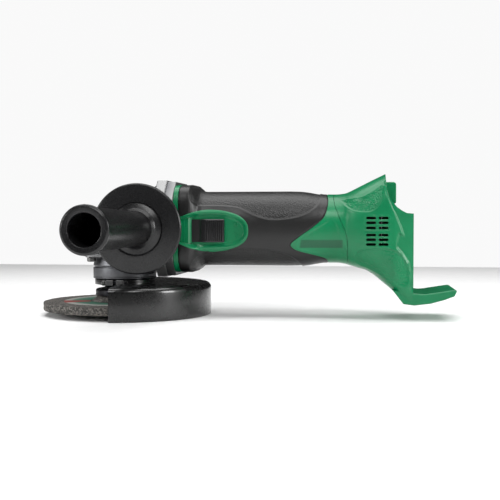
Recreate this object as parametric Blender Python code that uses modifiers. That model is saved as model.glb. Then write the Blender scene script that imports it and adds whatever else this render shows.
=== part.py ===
"""Cordless angle grinder for a 125 mm wheel, without its battery pack.

The origin is the centre of the spindle's lower end face, on the spindle's axis. +Z is up, +X runs from the
spindle to the battery end, and the side handle and the slide switch are on the -Y side. Metres throughout.
"""
import math

import bmesh
import bpy
from mathutils import Vector

# ---------------------------------------------------------------- driving dimensions
GAP = 0.0003                    # left between two solids that touch on the real tool

# grinding wheel and what clamps it
WHEEL_RADIUS = 0.0625
WHEEL_THICKNESS = 0.006
WHEEL_BORE_RADIUS = 0.0111
WHEEL_CENTRE_RISE = 0.0044      # the depressed centre stands this far above the rim
NUT_RADIUS = 0.0195
NUT_THICKNESS = 0.006
FLANGE_RADIUS = 0.0227
FLANGE_THICKNESS = 0.0078
SPINDLE_PROUD = 0.0008          # spindle end below the nut's face
SPINDLE_THREAD_RADIUS = 0.0067
SPINDLE_SEAT_RADIUS = 0.0075
GEAR_SEAT_RADIUS = 0.0062
SPINDLE_TOP_RADIUS = 0.0035

# guard
GUARD_CLEARANCE = 0.0032        # from the wheel's rim to the guard's wall
GUARD_WALL = 0.0018
GUARD_BELOW_SPINDLE = 0.0015
GUARD_TOP_Z = 0.0237
GUARD_CORNER = 0.004
GUARD_FRONT_X = 0.0065          # the guard covers everything behind this plane
COLLAR_RADIUS = 0.0232
COLLAR_HEIGHT = 0.0046

# bearing cover under the gear case
COVER_NECK_RADIUS = 0.0205
COVER_RADIUS = 0.0245
COVER_SKIRT_HEIGHT = 0.0091
COVER_NECK_HEIGHT = 0.0049
COVER_CONE_HEIGHT = 0.0076
COVER_PLATE_THICKNESS = 0.0029
COVER_SPIGOT_RADIUS = 0.0212
COVER_SPIGOT_HEIGHT = 0.0035
COVER_SCREW_SPREAD = 0.0205     # each screw's distance from the spindle's axis along X and along Y
LOWER_BEARING_RADIUS = 0.016
LOWER_BEARING_WIDTH = 0.0107

# gear train: both pitch cones meet where the two axes cross
MOTOR_AXIS_Z = 0.065
RING_TEETH = 24
PINION_TEETH = 7
RING_PITCH_RADIUS = 0.0185
TOOTH_FACE = 0.0055             # length of a tooth along its radius
TOOTH_BACKLASH = 0.13           # share of the tooth pitch left free
LOCK_HOLES = 4
LOCK_HOLE_DEPTH = 0.0042

# gear case
CASE_NOSE_RADIUS = 0.025
CASE_TOP_Z = 0.087
CASE_BASE_HALF = 0.0253
CASE_BASE_HEIGHT = 0.008
CASE_FLANGE_HALF = 0.0362
CASE_FLANGE_CHAMFER = 0.0145
CASE_SCREW_Y = 0.025
CASE_SCREW_Z = 0.0265
BOSS_RADIUS = 0.0108
BOSS_FACE_Y = 0.0373
HANDLE_AXIS_X = 0.0228

# spindle lock
LOCK_OFFSET = 0.0102            # the lock pin's distance in front of the spindle's axis
LOCK_PIN_RADIUS = 0.0022
LOCK_BUTTON_RADIUS = 0.0062
LOCK_TRAVEL = 0.0042
LOCK_BUTTON_HEIGHT = 0.0085

# side handle
HANDLE_LENGTH = 0.130           # from the gear case boss to the open end
HANDLE_FLANGE_RADIUS = 0.033
HANDLE_GRIP_RADIUS = 0.013
HANDLE_BORE_RADIUS = 0.0103
HANDLE_FLANGE_OFFSET = 0.0125   # hand flange's distance from the boss face
STUD_RADIUS = 0.004
STUD_DEPTH = 0.013

# motor housing
HEAD_LENGTH = 0.039             # spindle axis to the joint of gear case and housing
CASE_FLANGE_THICKNESS = 0.0075
COLLAR_HALF = 0.033
COLLAR_LENGTH = 0.018
BARREL_RADIUS = 0.0288
BARREL_LENGTH = 0.086           # from the collar to where the grip starts to narrow
WAIST_DEPTH = 0.003             # how much smaller the waist is than the barrel
OVERMOLD_THICKNESS = 0.0015
HOUSING_WALL = 0.002
REAR_HALF_WIDTH = 0.033
REAR_WALL = 0.0024

# motor
SHAFT_RADIUS = 0.004
PINION_SEAT_RADIUS = 0.002
FRONT_BEARING_RADIUS = 0.013
FRONT_BEARING_WIDTH = 0.008
REAR_BEARING_RADIUS = 0.0095
REAR_BEARING_WIDTH = 0.006
FAN_RADIUS = 0.024
FAN_LENGTH = 0.0105
FAN_BLADES = 9
YOKE_WALL = 0.0022
MAGNET_THICKNESS = 0.005
AIR_GAP = 0.0006
BAR_SPACE = 0.0036              # between the yoke and the housing, where the slide bar runs
ROTOR_SLOTS = 12
COMMUTATOR_RADIUS = 0.0085
COMMUTATOR_LENGTH = 0.012
COMMUTATOR_BARS = 12

# slide switch
SLIDE_TRAVEL = 0.006
KNOB_LENGTH = 0.0185
KNOB_HEIGHT = 0.0172
KNOB_RISE = 0.003
KNOB_Z = -0.00145               # knob centre relative to the motor axis
RECESS_DEPTH = 0.0025           # switch recess below the barrel's surface
BAR_THICKNESS = 0.0014
BAR_HEIGHT = 0.008

# battery end
REAR_LENGTH = 0.0628            # from the end of the soft grip to the battery end
FOOT_LENGTH = 0.0305
FOOT_HALF_WIDTH = 0.028
FOOT_TOP = -0.0460              # relative to the motor axis
CHANNEL_HALF_WIDTH = 0.0255
CHANNEL_DEPTH = 0.0115
RAIL_GROOVE = 0.003

# ---------------------------------------------------------------- sizes worked out from them
NUT_LOW = SPINDLE_PROUD
NUT_TOP = NUT_LOW + NUT_THICKNESS
HUB_LOW = NUT_TOP + GAP
HUB_TOP = HUB_LOW + WHEEL_THICKNESS
RIM_LOW = HUB_LOW - WHEEL_CENTRE_RISE
RIM_TOP = RIM_LOW + WHEEL_THICKNESS
FLANGE_LOW = HUB_TOP + GAP
FLANGE_TOP = FLANGE_LOW + FLANGE_THICKNESS
NECK_LOW = FLANGE_TOP + GAP
NECK_TOP = NECK_LOW + COVER_NECK_HEIGHT
SKIRT_TOP = NECK_TOP + COVER_SKIRT_HEIGHT
PLATE_LOW = SKIRT_TOP + COVER_CONE_HEIGHT
PLATE_TOP = PLATE_LOW + COVER_PLATE_THICKNESS
CASE_LOW = PLATE_TOP + GAP
GUARD_OUTER = WHEEL_RADIUS + GUARD_CLEARANCE + GUARD_WALL

PITCH_SLOPE = PINION_TEETH / RING_TEETH          # tangent of the pinion's pitch angle
MODULE = 2 * RING_PITCH_RADIUS / RING_TEETH
RING_INNER = RING_PITCH_RADIUS - TOOTH_FACE
RING_WEB_Z = MOTOR_AXIS_Z - RING_PITCH_RADIUS * PITCH_SLOPE - MODULE * 0.9
RING_LOW = RING_WEB_Z - 0.0075
RING_CLEAR_Z = MOTOR_AXIS_Z - 0.0022
UPPER_SEAT_Z = MOTOR_AXIS_Z + 0.0020
UPPER_BEARING_LENGTH = 0.0072
SPINDLE_TOP_Z = UPPER_SEAT_Z + UPPER_BEARING_LENGTH + 0.0004
PIN_LOW = RING_WEB_Z + 0.001
LOCK_FLOOR_Z = SPINDLE_TOP_Z + 0.0006

HOUSING_X = HEAD_LENGTH + GAP
CASE_FLANGE_X = HEAD_LENGTH - CASE_FLANGE_THICKNESS
COLLAR_END = HEAD_LENGTH + COLLAR_LENGTH
BARREL_END = COLLAR_END + BARREL_LENGTH
WAIST = BARREL_RADIUS - WAIST_DEPTH
INNER_OFFSET = OVERMOLD_THICKNESS + GAP + HOUSING_WALL
BARREL_INNER = BARREL_RADIUS - INNER_OFFSET
YOKE_RADIUS = BARREL_INNER - BAR_SPACE
MAGNET_RADIUS = YOKE_RADIUS - YOKE_WALL - GAP
ROTOR_RADIUS = MAGNET_RADIUS - MAGNET_THICKNESS - AIR_GAP
COIL_RADIUS = ROTOR_RADIUS - 0.001
FAN_X = COLLAR_END - 0.0140
ROTOR_X = COLLAR_END + 0.005
ROTOR_END = BARREL_END - 0.043
COMMUTATOR_X = ROTOR_END + 0.012
REAR_BEARING_X = COMMUTATOR_X + COMMUTATOR_LENGTH + 0.012
SHAFT_END = REAR_BEARING_X + REAR_BEARING_WIDTH
BAR_OUTER = YOKE_RADIUS + GAP + 0.0004 + BAR_THICKNESS
KNOB_X = COLLAR_END + 0.0172
RIB_END = SHAFT_END + 0.0005
BAR_END = RIB_END + SLIDE_TRAVEL + 0.0035
SWITCH_X = BAR_END + 0.0005
SWITCH_END = SWITCH_X + 0.017
FLOOR_Y = BARREL_RADIUS - RECESS_DEPTH
SEAL_Y = FLOOR_Y + GAP
KNOB_Y = SEAL_Y + 0.0006 + GAP
GRIP_END = BARREL_END + 0.0152
REAR_END_X = GRIP_END + REAR_LENGTH
SEAM_TOP_X = GRIP_END + 0.005
SEAM_LOW_X = GRIP_END + 0.0157
BOSS_SPREAD = WAIST - INNER_OFFSET - 0.0085
PLATE_X = REAR_END_X - CHANNEL_DEPTH


# ---------------------------------------------------------------- scene and modelling tools
def start_scene():
    """Empties the scene and makes one collection for the tool and one for the cutters."""
    for item in list(bpy.data.objects):
        bpy.data.objects.remove(item)
    groups = {}
    for name in ("angle_grinder", "cutters"):
        groups[name] = bpy.data.collections.new(name)
        bpy.context.scene.collection.children.link(groups[name])
    groups["cutters"].hide_render = True
    return groups


GROUPS = start_scene()


def finish(name, colour, roughness, metallic=0.0):
    """A plain material: colour as linear RGB."""
    material = bpy.data.materials.new(name)
    material.use_nodes = True
    shader = material.node_tree.nodes["Principled BSDF"]
    shader.inputs["Base Color"].default_value = (*colour, 1)
    shader.inputs["Roughness"].default_value = roughness
    shader.inputs["Metallic"].default_value = metallic
    return material


GREEN = finish("green_nylon", (0.002, 0.20, 0.077), 0.35)
ELASTOMER = finish("black_elastomer", (0.012, 0.012, 0.012), 0.6)
BLACK_NYLON = finish("black_nylon", (0.015, 0.015, 0.016), 0.5)
CAST = finish("cast_aluminium", (0.55, 0.55, 0.56), 0.35, 1.0)
STEEL = finish("steel", (0.5, 0.5, 0.5), 0.3, 1.0)
BLACK_STEEL = finish("black_steel", (0.03, 0.03, 0.03), 0.35, 0.8)
COPPER = finish("copper", (0.72, 0.28, 0.12), 0.35, 1.0)
BRASS = finish("brass", (0.7, 0.5, 0.2), 0.35, 1.0)
CARBON = finish("carbon", (0.02, 0.02, 0.02), 0.7)
ABRASIVE = finish("abrasive", (0.08, 0.075, 0.07), 0.95)
FERRITE = finish("ferrite", (0.05, 0.05, 0.055), 0.6)


def add(name, mesh, material):
    """Adds a mesh as a sub-part, or as a cutter when it has no material."""
    body = bpy.data.objects.new(name, mesh)
    if material:
        mesh.materials.append(material)
        GROUPS["angle_grinder"].objects.link(body)
    else:
        body.hide_render = True
        body.display_type = "WIRE"
        GROUPS["cutters"].objects.link(body)
    return body


def mesh_from(name, bm):
    """Turns a bmesh into a smooth-shaded mesh with outward faces."""
    bmesh.ops.recalc_face_normals(bm, faces=bm.faces)
    mesh = bpy.data.meshes.new(name)
    bm.to_mesh(mesh)
    bm.free()
    mesh.shade_smooth()
    mesh.set_sharp_from_angle(angle=math.radians(35))
    return mesh


def block(name, low, high, material=None):
    """A box between two corners."""
    low, high = Vector(low), Vector(high)
    bm = bmesh.new()
    bmesh.ops.create_cube(bm, size=1)
    bmesh.ops.scale(bm, vec=high - low, verts=bm.verts)
    bmesh.ops.translate(bm, vec=(low + high) / 2, verts=bm.verts)
    return add(name, mesh_from(name, bm), material)


TURN = {"X": (0, math.pi / 2, 0), "Y": (-math.pi / 2, 0, 0), "-Y": (math.pi / 2, 0, 0), "Z": (0, 0, 0)}


def turned(name, profile, material=None, axis="Z", at=(0, 0, 0), steps=24):
    """A turned piece: (radius, distance) points run out at the top, down the outside and back inside."""
    closed = profile[0][0] > 0
    mesh = bpy.data.meshes.new(name)
    edges = [(i, i + 1) for i in range(len(profile) - 1)]
    if closed:
        edges.append((len(profile) - 1, 0))
    mesh.from_pydata([(radius, 0, height) for radius, height in profile], edges, [])
    body = add(name, mesh, material)
    screw = body.modifiers.new("turn", "SCREW")
    screw.axis = "Z"
    screw.steps = screw.render_steps = steps
    screw.use_merge_vertices = True
    screw.merge_threshold = 0.00002
    body.rotation_euler = TURN[axis]
    body.location = at
    return body


def rod(name, radius, low, high, material=None, axis="Z", at=(0, 0, 0), steps=16):
    """A plain cylinder along one axis."""
    bm = bmesh.new()
    bmesh.ops.create_cone(bm, cap_ends=True, segments=steps, radius1=radius, radius2=radius,
                          depth=high - low)
    bmesh.ops.translate(bm, vec=(0, 0, (low + high) / 2), verts=bm.verts)
    body = add(name, mesh_from(name, bm), material)
    body.rotation_euler = TURN[axis]
    body.location = at
    return body


def tube(name, inner, outer, low, high, material=None, axis="Z", at=(0, 0, 0), steps=24):
    """A plain ring along one axis."""
    profile = [(inner, high), (outer, high), (outer, low), (inner, low)]
    return turned(name, profile, material, axis, at, steps)


def loft(name, rings, material=None, closed=False, straight=False):
    """A skin over rings of equal length: capped at both ends, or closed into a loop.

    Unless the sides are straight, their four-sided faces are twisted and are cut into triangles.
    """
    bm = bmesh.new()
    rows = [[bm.verts.new(point) for point in ring] for ring in rings]
    count = len(rows[0])
    pairs = list(zip(rows, rows[1:]))
    if closed:
        pairs.append((rows[-1], rows[0]))
    else:
        bm.faces.new(rows[0])
        bm.faces.new(rows[-1])
    for first, second in pairs:
        for i in range(count):
            j = (i + 1) % count
            bm.faces.new((first[i], first[j], second[j], second[i]))
    if not straight:
        bmesh.ops.triangulate(bm, faces=[face for face in bm.faces if len(face.verts) == 4])
    return add(name, mesh_from(name, bm), material)


def rounded_rectangle(low_a, high_a, low_b, high_b, corner):
    """A rectangle outline with rounded corners."""
    points = []
    for k, (a, b) in enumerate(((high_a, high_b), (low_a, high_b), (low_a, low_b), (high_a, low_b))):
        centre = (a - math.copysign(corner, a - (low_a + high_a) / 2),
                  b - math.copysign(corner, b - (low_b + high_b) / 2))
        points += arc(centre, corner, 90 * k, 90 * k + 90, 3)
    return points


def prism(name, outline, low, high, material=None, axis="Y"):
    """A flat outline extruded along one axis; it is (x, z), or (x, y) along Z, or (y, z) along X."""
    place = {
        "X": lambda a, b, h: (h, a, b),
        "Y": lambda a, b, h: (a, h, b),
        "Z": lambda a, b, h: (a, b, h),
    }[axis]
    return loft(name, [[place(a, b, h) for a, b in outline] for h in (low, high)], material, straight=True)


def combine(body, operation, *tools):
    """Cuts, joins or trims a body with other solids."""
    for tool in tools:
        change = body.modifiers.new(tool.name, "BOOLEAN")
        change.operation = operation
        change.object = tool
        change.solver = "EXACT"
    return body


def arc(centre, radius, start, end, count):
    """Points on a circular arc, angles in degrees."""
    angles = [math.radians(start + (end - start) * i / count) for i in range(count + 1)]
    return [(centre[0] + radius * math.cos(a), centre[1] + radius * math.sin(a)) for a in angles]


def rounded_square(half, corner, count=3):
    """A square outline with rounded corners."""
    inner = half - corner
    points = []
    for k, (a, b) in enumerate(((1, 1), (-1, 1), (-1, -1), (1, -1))):
        points += arc((a * inner, b * inner), corner, 90 * k, 90 * k + 90, count)
    return points


def oval_ring(x, half_width, top, bottom, power, count=20):
    """One cross-section of the housing: a superellipse in the plane at x, heights from the motor axis."""
    middle, half_height = (top + bottom) / 2, (top - bottom) / 2
    ring = []
    for i in range(count):
        angle = 2 * math.pi * (i + 0.5) / count
        c, s = math.cos(angle), math.sin(angle)
        y = half_width * math.copysign(abs(c) ** (2 / power), c)
        z = middle + half_height * math.copysign(abs(s) ** (2 / power), s)
        ring.append((x, y, MOTOR_AXIS_Z + z))
    return ring


# ---------------------------------------------------------------- wheel, flange, nut and spindle
def make_spindle_group():
    """Everything that turns about the spindle's axis except the ring gear."""
    thread, seat, top = SPINDLE_THREAD_RADIUS, SPINDLE_SEAT_RADIUS, SPINDLE_TOP_RADIUS
    bearing_low = NECK_LOW + 0.0127
    bearing_top = bearing_low + LOWER_BEARING_WIDTH
    turned("spindle", [
        (0, SPINDLE_TOP_Z), (top, SPINDLE_TOP_Z), (top, UPPER_SEAT_Z), (GEAR_SEAT_RADIUS, UPPER_SEAT_Z),
        (GEAR_SEAT_RADIUS, RING_LOW - GAP), (seat + 0.0015, RING_LOW - GAP),
        (seat + 0.0015, bearing_top + GAP), (seat, bearing_top + GAP), (seat, FLANGE_TOP + GAP),
        (thread, FLANGE_TOP + GAP), (thread, 0.0008), (thread - 0.0008, 0), (0, 0)], STEEL, steps=16)
    bore = thread + GAP
    turned("inner_flange", [
        (bore, FLANGE_TOP), (0.015, FLANGE_TOP), (FLANGE_RADIUS, FLANGE_LOW + 0.0045),
        (FLANGE_RADIUS, FLANGE_LOW),
        (WHEEL_BORE_RADIUS - GAP, FLANGE_LOW), (WHEEL_BORE_RADIUS - GAP, HUB_LOW + 0.001),
        (bore, HUB_LOW + 0.001)], BLACK_STEEL)
    turned("grinding_wheel", [
        (WHEEL_BORE_RADIUS, HUB_TOP), (NUT_RADIUS + 0.0015, HUB_TOP), (NUT_RADIUS + 0.0065, RIM_TOP),
        (WHEEL_RADIUS, RIM_TOP), (WHEEL_RADIUS, RIM_LOW), (NUT_RADIUS + 0.008, RIM_LOW),
        (NUT_RADIUS + 0.003, HUB_LOW), (WHEEL_BORE_RADIUS, HUB_LOW)], ABRASIVE, steps=36)
    nut = tube("clamp_nut", bore, NUT_RADIUS, NUT_LOW, NUT_TOP, BLACK_STEEL)
    for k in range(2):
        hole = rod(f"nut_hole_cutter_{k}", 0.0025, NUT_LOW - 0.001, NUT_LOW + 0.003,
                   at=(0.0145 * (1 - 2 * k), 0, 0), steps=12)
        combine(nut, "DIFFERENCE", hole)
    tube("spindle_lower_bearing", seat + GAP, LOWER_BEARING_RADIUS, bearing_low, bearing_top, STEEL)
    tube("spindle_upper_bearing", top + GAP, top + 0.0025, UPPER_SEAT_Z + GAP,
         UPPER_SEAT_Z + UPPER_BEARING_LENGTH,
         STEEL, steps=20)
    return bearing_low, bearing_top


def make_bearing_cover(bearing_low, bearing_top):
    """The cover that closes the gear case from below, holds the lower bearing and carries the guard."""
    spread, screw_low = COVER_SCREW_SPREAD, PLATE_LOW - 0.0003
    seat = LOWER_BEARING_RADIUS + GAP
    cover = turned("bearing_cover", [
        (seat, PLATE_TOP + COVER_SPIGOT_HEIGHT), (COVER_SPIGOT_RADIUS, PLATE_TOP + COVER_SPIGOT_HEIGHT),
        (COVER_SPIGOT_RADIUS, PLATE_TOP - 0.001), (COVER_RADIUS - 0.0015, PLATE_TOP - 0.001),
        (COVER_RADIUS - 0.0015, PLATE_LOW), (COVER_RADIUS - 0.0003, SKIRT_TOP + 0.0008),
        (COVER_RADIUS - 0.0012, SKIRT_TOP + 0.0008), (COVER_RADIUS - 0.0012, SKIRT_TOP),
        (COVER_RADIUS, SKIRT_TOP), (COVER_RADIUS, NECK_TOP + 0.0008), (COVER_RADIUS - 0.0008, NECK_TOP),
        (COVER_NECK_RADIUS, NECK_TOP), (COVER_NECK_RADIUS, NECK_LOW),
        (SPINDLE_SEAT_RADIUS + 0.004, NECK_LOW),
        (SPINDLE_SEAT_RADIUS + 0.004, bearing_low - GAP), (seat, bearing_low - GAP)], CAST)
    plate = prism("cover_plate_join", rounded_square(CASE_BASE_HALF, 0.0055), PLATE_LOW, PLATE_TOP,
                  axis="Z")
    hole = rod("cover_plate_hole_cutter", seat + 0.0005, PLATE_LOW - 0.001, PLATE_TOP + 0.001, steps=24)
    combine(plate, "DIFFERENCE", hole)
    combine(cover, "UNION", plate)
    for k, (a, b) in enumerate(((1, 1), (-1, 1), (-1, -1), (1, -1))):
        at = (a * spread, b * spread, 0)
        hole = rod(f"cover_hole_cutter_{k}", 0.0022, PLATE_LOW - 0.002, PLATE_TOP + 0.002, at=at, steps=12)
        combine(cover, "DIFFERENCE", hole)
        turned(f"cover_screw_{k + 1}", [
            (0, PLATE_TOP + 0.006), (0.0019, PLATE_TOP + 0.006), (0.0019, screw_low), (0.0033, screw_low),
            (0.0033, screw_low - 0.003), (0, screw_low - 0.003)], BLACK_STEEL, at=at, steps=10)


def toothed_section(teeth, index):
    """Angles and height (+1 tip, -1 root) of one tooth's four corners, flanks straight."""
    pitch = 2 * math.pi / teeth
    wide, narrow = 0.5 - TOOTH_BACKLASH / 2 + 0.12, 0.5 - TOOTH_BACKLASH / 2 - 0.20
    return [(pitch * (index + side * share / 2), height)
            for side, share, height in ((-1, wide, -1), (-1, narrow, 1), (1, narrow, 1), (1, wide, -1))]


def make_gears():
    """Ring gear under the pinion; at rest a tooth on the ring stands in a space of the pinion."""
    addendum, dedendum = 0.85 * MODULE, 1.15 * MODULE
    outer, inner, bore = RING_PITCH_RADIUS + 0.0003, RING_INNER, GEAR_SEAT_RADIUS + GAP
    rings = []
    for tooth in range(RING_TEETH):
        for angle, height in toothed_section(RING_TEETH, tooth):
            shift = addendum if height > 0 else -dedendum
            slope = PITCH_SLOPE - shift / RING_PITCH_RADIUS
            c, s = math.cos(angle), math.sin(angle)
            section = [(bore, RING_LOW), (outer, RING_LOW), (outer, MOTOR_AXIS_Z - outer * slope),
                       (inner, MOTOR_AXIS_Z - inner * slope), (inner, RING_WEB_Z), (bore, RING_WEB_Z)]
            rings.append([(r * c, r * s, z) for r, z in section])
    gear = loft("ring_gear", rings, STEEL, closed=True)
    for k in range(LOCK_HOLES):
        turn = 2 * math.pi * k / LOCK_HOLES
        at = (-LOCK_OFFSET * math.cos(turn), LOCK_OFFSET * math.sin(turn), 0)
        hole = rod(f"lock_hole_cutter_{k}", LOCK_PIN_RADIUS + 0.0004, RING_WEB_Z - LOCK_HOLE_DEPTH,
                   RING_WEB_Z + 0.001, at=at, steps=12)
        combine(gear, "DIFFERENCE", hole)

    near, far = RING_INNER, RING_PITCH_RADIUS
    rings = []
    for tooth in range(PINION_TEETH):
        for angle, height in toothed_section(PINION_TEETH, tooth + 0.5):
            slope = PITCH_SLOPE + (addendum if height > 0 else -dedendum) / RING_PITCH_RADIUS
            c, s = math.cos(angle), math.sin(angle)
            section = [(near, PINION_SEAT_RADIUS + GAP), (far, PINION_SEAT_RADIUS + GAP),
                       (far, far * slope),
                       (near, near * slope)]
            rings.append([(x, r * s, MOTOR_AXIS_Z - r * c) for x, r in section])
    loft("pinion_gear", rings, STEEL, closed=True)


# ---------------------------------------------------------------- gear case, lock and guard
def flange_outline():
    """The gear case's rear flange: a square with large chamfers."""
    a, b = CASE_FLANGE_HALF, CASE_FLANGE_HALF - CASE_FLANGE_CHAMFER
    return [(a, -b), (a, b), (b, a), (-b, a), (-a, b), (-a, -b), (-b, -a), (b, -a)]


def make_gear_case():
    """Die-cast head: nose over the spindle, neck to the motor, handle bosses on both sides."""
    nose = CASE_NOSE_RADIUS
    shoulder = RING_CLEAR_Z + 0.003
    case = turned("gear_case", [
        (0, CASE_TOP_Z), (nose * 0.40, CASE_TOP_Z), (nose * 0.60, CASE_TOP_Z - 0.003),
        (nose * 0.80, CASE_TOP_Z - 0.011), (nose * 0.92, shoulder), (nose, shoulder - 0.011),
        (nose, CASE_LOW + 0.002), (0, CASE_LOW + 0.002)], CAST, steps=24)
    base = prism("case_base_join", rounded_square(CASE_BASE_HALF, 0.0055), CASE_LOW,
                 CASE_LOW + CASE_BASE_HEIGHT,
                 axis="Z")
    flange_start = CASE_FLANGE_X + 0.001
    neck = loft("case_neck_join", [
        oval_ring(-0.004, 0.022, 0.024, -0.0170, 3, 24), oval_ring(0.010, 0.0255, 0.0265, -0.0178, 3, 24),
        oval_ring(0.020, 0.0295, 0.029, -0.0255, 3.2, 24), oval_ring(flange_start, 0.034, 0.0345, -0.034,
                                                                     4, 24)])
    flange = prism("case_flange_join", [(y, MOTOR_AXIS_Z + z) for y, z in flange_outline()], CASE_FLANGE_X,
                   HEAD_LENGTH, axis="X")
    centre = (HANDLE_AXIS_X, 0, MOTOR_AXIS_Z)
    bosses = rod("case_boss_join", BOSS_RADIUS, -BOSS_FACE_Y, BOSS_FACE_Y, axis="Y", at=centre, steps=24)
    lock_tower = rod("case_lock_join", LOCK_BUTTON_RADIUS + 0.0019, UPPER_SEAT_Z, CASE_TOP_Z - 0.0028,
                     at=(-LOCK_OFFSET, 0, 0), steps=20)
    below = block("case_base_cutter", (-nose - 0.01, -0.05, CASE_LOW - 0.04),
                  (CASE_BASE_HALF + GAP, 0.05, CASE_LOW))
    combine(neck, "DIFFERENCE", below)
    combine(case, "UNION", base, neck, flange, bosses, lock_tower)

    needle, ring = SPINDLE_TOP_RADIUS + 0.0025 + GAP, RING_PITCH_RADIUS + 0.0011
    spigot_end = PLATE_TOP + COVER_SPIGOT_HEIGHT + GAP
    cavity = turned("case_cavity_cutter", [
        (0, SPINDLE_TOP_Z + GAP), (needle, SPINDLE_TOP_Z + GAP), (needle, UPPER_SEAT_Z),
        (0.0115, UPPER_SEAT_Z),
        (ring, RING_CLEAR_Z), (ring, spigot_end), (COVER_SPIGOT_RADIUS + GAP, spigot_end),
        (COVER_SPIGOT_RADIUS + GAP, CASE_LOW - 0.001), (0, CASE_LOW - 0.001)], steps=24)
    axis_at = (0, 0, MOTOR_AXIS_Z)
    bearing_x = HEAD_LENGTH - 0.011
    throat = rod("case_throat_cutter", 0.0092, 0.0095, bearing_x + 0.001, axis="X", at=axis_at)
    seat = rod("case_seat_cutter", FRONT_BEARING_RADIUS + GAP, bearing_x, HEAD_LENGTH + 0.001, axis="X",
               at=axis_at, steps=24)
    combine(case, "DIFFERENCE", cavity, throat, seat)
    for side in (-1, 1):
        depth = sorted((side * (BOSS_FACE_Y + 0.001), side * (BOSS_FACE_Y - STUD_DEPTH - 0.001)))
        stud = rod(f"stud_hole_cutter_{side + 1}", STUD_RADIUS + GAP, *depth, axis="Y", at=centre,
                   steps=16)
        combine(case, "DIFFERENCE", stud)

    for k, (a, b) in enumerate(((1, 1), (-1, 1), (-1, -1), (1, -1))):
        at = (a * COVER_SCREW_SPREAD, b * COVER_SCREW_SPREAD, 0)
        hole = rod(f"case_cover_hole_cutter_{k}", 0.0022, CASE_LOW - 0.002, PLATE_TOP + 0.0066, at=at,
                   steps=12)
        at = (0, a * CASE_SCREW_Y, MOTOR_AXIS_Z + b * CASE_SCREW_Z)
        long_hole = rod(f"case_screw_hole_cutter_{k}", 0.0023, CASE_FLANGE_X - 0.001, HEAD_LENGTH + 0.001,
                        axis="X", at=at, steps=12)
        pocket = rod(f"case_screw_pocket_cutter_{k}", 0.0044, CASE_FLANGE_X - 0.0105,
                     CASE_FLANGE_X + 0.0005,
                     axis="X", at=at, steps=16)
        combine(case, "DIFFERENCE", hole, long_hole, pocket)
        low = CASE_FLANGE_X + 0.0002
        turned(f"gear_case_screw_{k + 1}", [
            (0, HOUSING_X + 0.0115), (0.002, HOUSING_X + 0.0115), (0.002, low), (0.0038, low),
            (0.0038, low - 0.0052), (0, low - 0.0052)], BLACK_STEEL, axis="X", at=at, steps=10)
    return case


def make_spindle_lock(case):
    """A sprung button on top of the head pushes a pin into the ring gear."""
    floor = LOCK_FLOOR_Z
    cap_low = floor + LOCK_TRAVEL + 0.0005
    cap_top = cap_low + LOCK_BUTTON_HEIGHT
    at = (-LOCK_OFFSET, 0, 0)
    pocket = rod("lock_pocket_cutter", LOCK_BUTTON_RADIUS + GAP, floor, CASE_TOP_Z + 0.01, at=at, steps=20)
    hole = rod("lock_pin_hole_cutter", LOCK_PIN_RADIUS + GAP, RING_WEB_Z + 0.001, floor + 0.002, at=at,
               steps=12)
    combine(case, "DIFFERENCE", pocket, hole)
    ceiling = cap_top - 0.0022
    turned("lock_button", [
        (0, cap_top), (LOCK_BUTTON_RADIUS - 0.001, cap_top), (LOCK_BUTTON_RADIUS, cap_top - 0.001),
        (LOCK_BUTTON_RADIUS, cap_low), (LOCK_BUTTON_RADIUS - 0.0016, cap_low),
        (LOCK_BUTTON_RADIUS - 0.0016, ceiling),
        (0, ceiling)], BLACK_NYLON, at=at, steps=20)
    rod("lock_pin", LOCK_PIN_RADIUS, PIN_LOW, ceiling - GAP, STEEL, at=at, steps=12)
    turns, points, wire = 4, 10, 0.0004
    low, high = floor + GAP + wire, ceiling - GAP - wire
    radius = LOCK_BUTTON_RADIUS - 0.0016 - GAP - wire - 0.0002
    curve = bpy.data.curves.new("lock_spring", "CURVE")
    curve.dimensions = "3D"
    curve.bevel_depth = wire
    curve.bevel_resolution = 1
    curve.use_fill_caps = True
    spline = curve.splines.new("POLY")
    count = turns * points
    spline.points.add(count)
    for i, point in enumerate(spline.points):
        angle = 2 * math.pi * i / points
        point.co = (radius * math.cos(angle), radius * math.sin(angle), low + (high - low) * i / count, 1)
    curve.materials.append(STEEL)
    spring = bpy.data.objects.new("lock_spring", curve)
    spring.location = at
    GROUPS["angle_grinder"].objects.link(spring)


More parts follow.
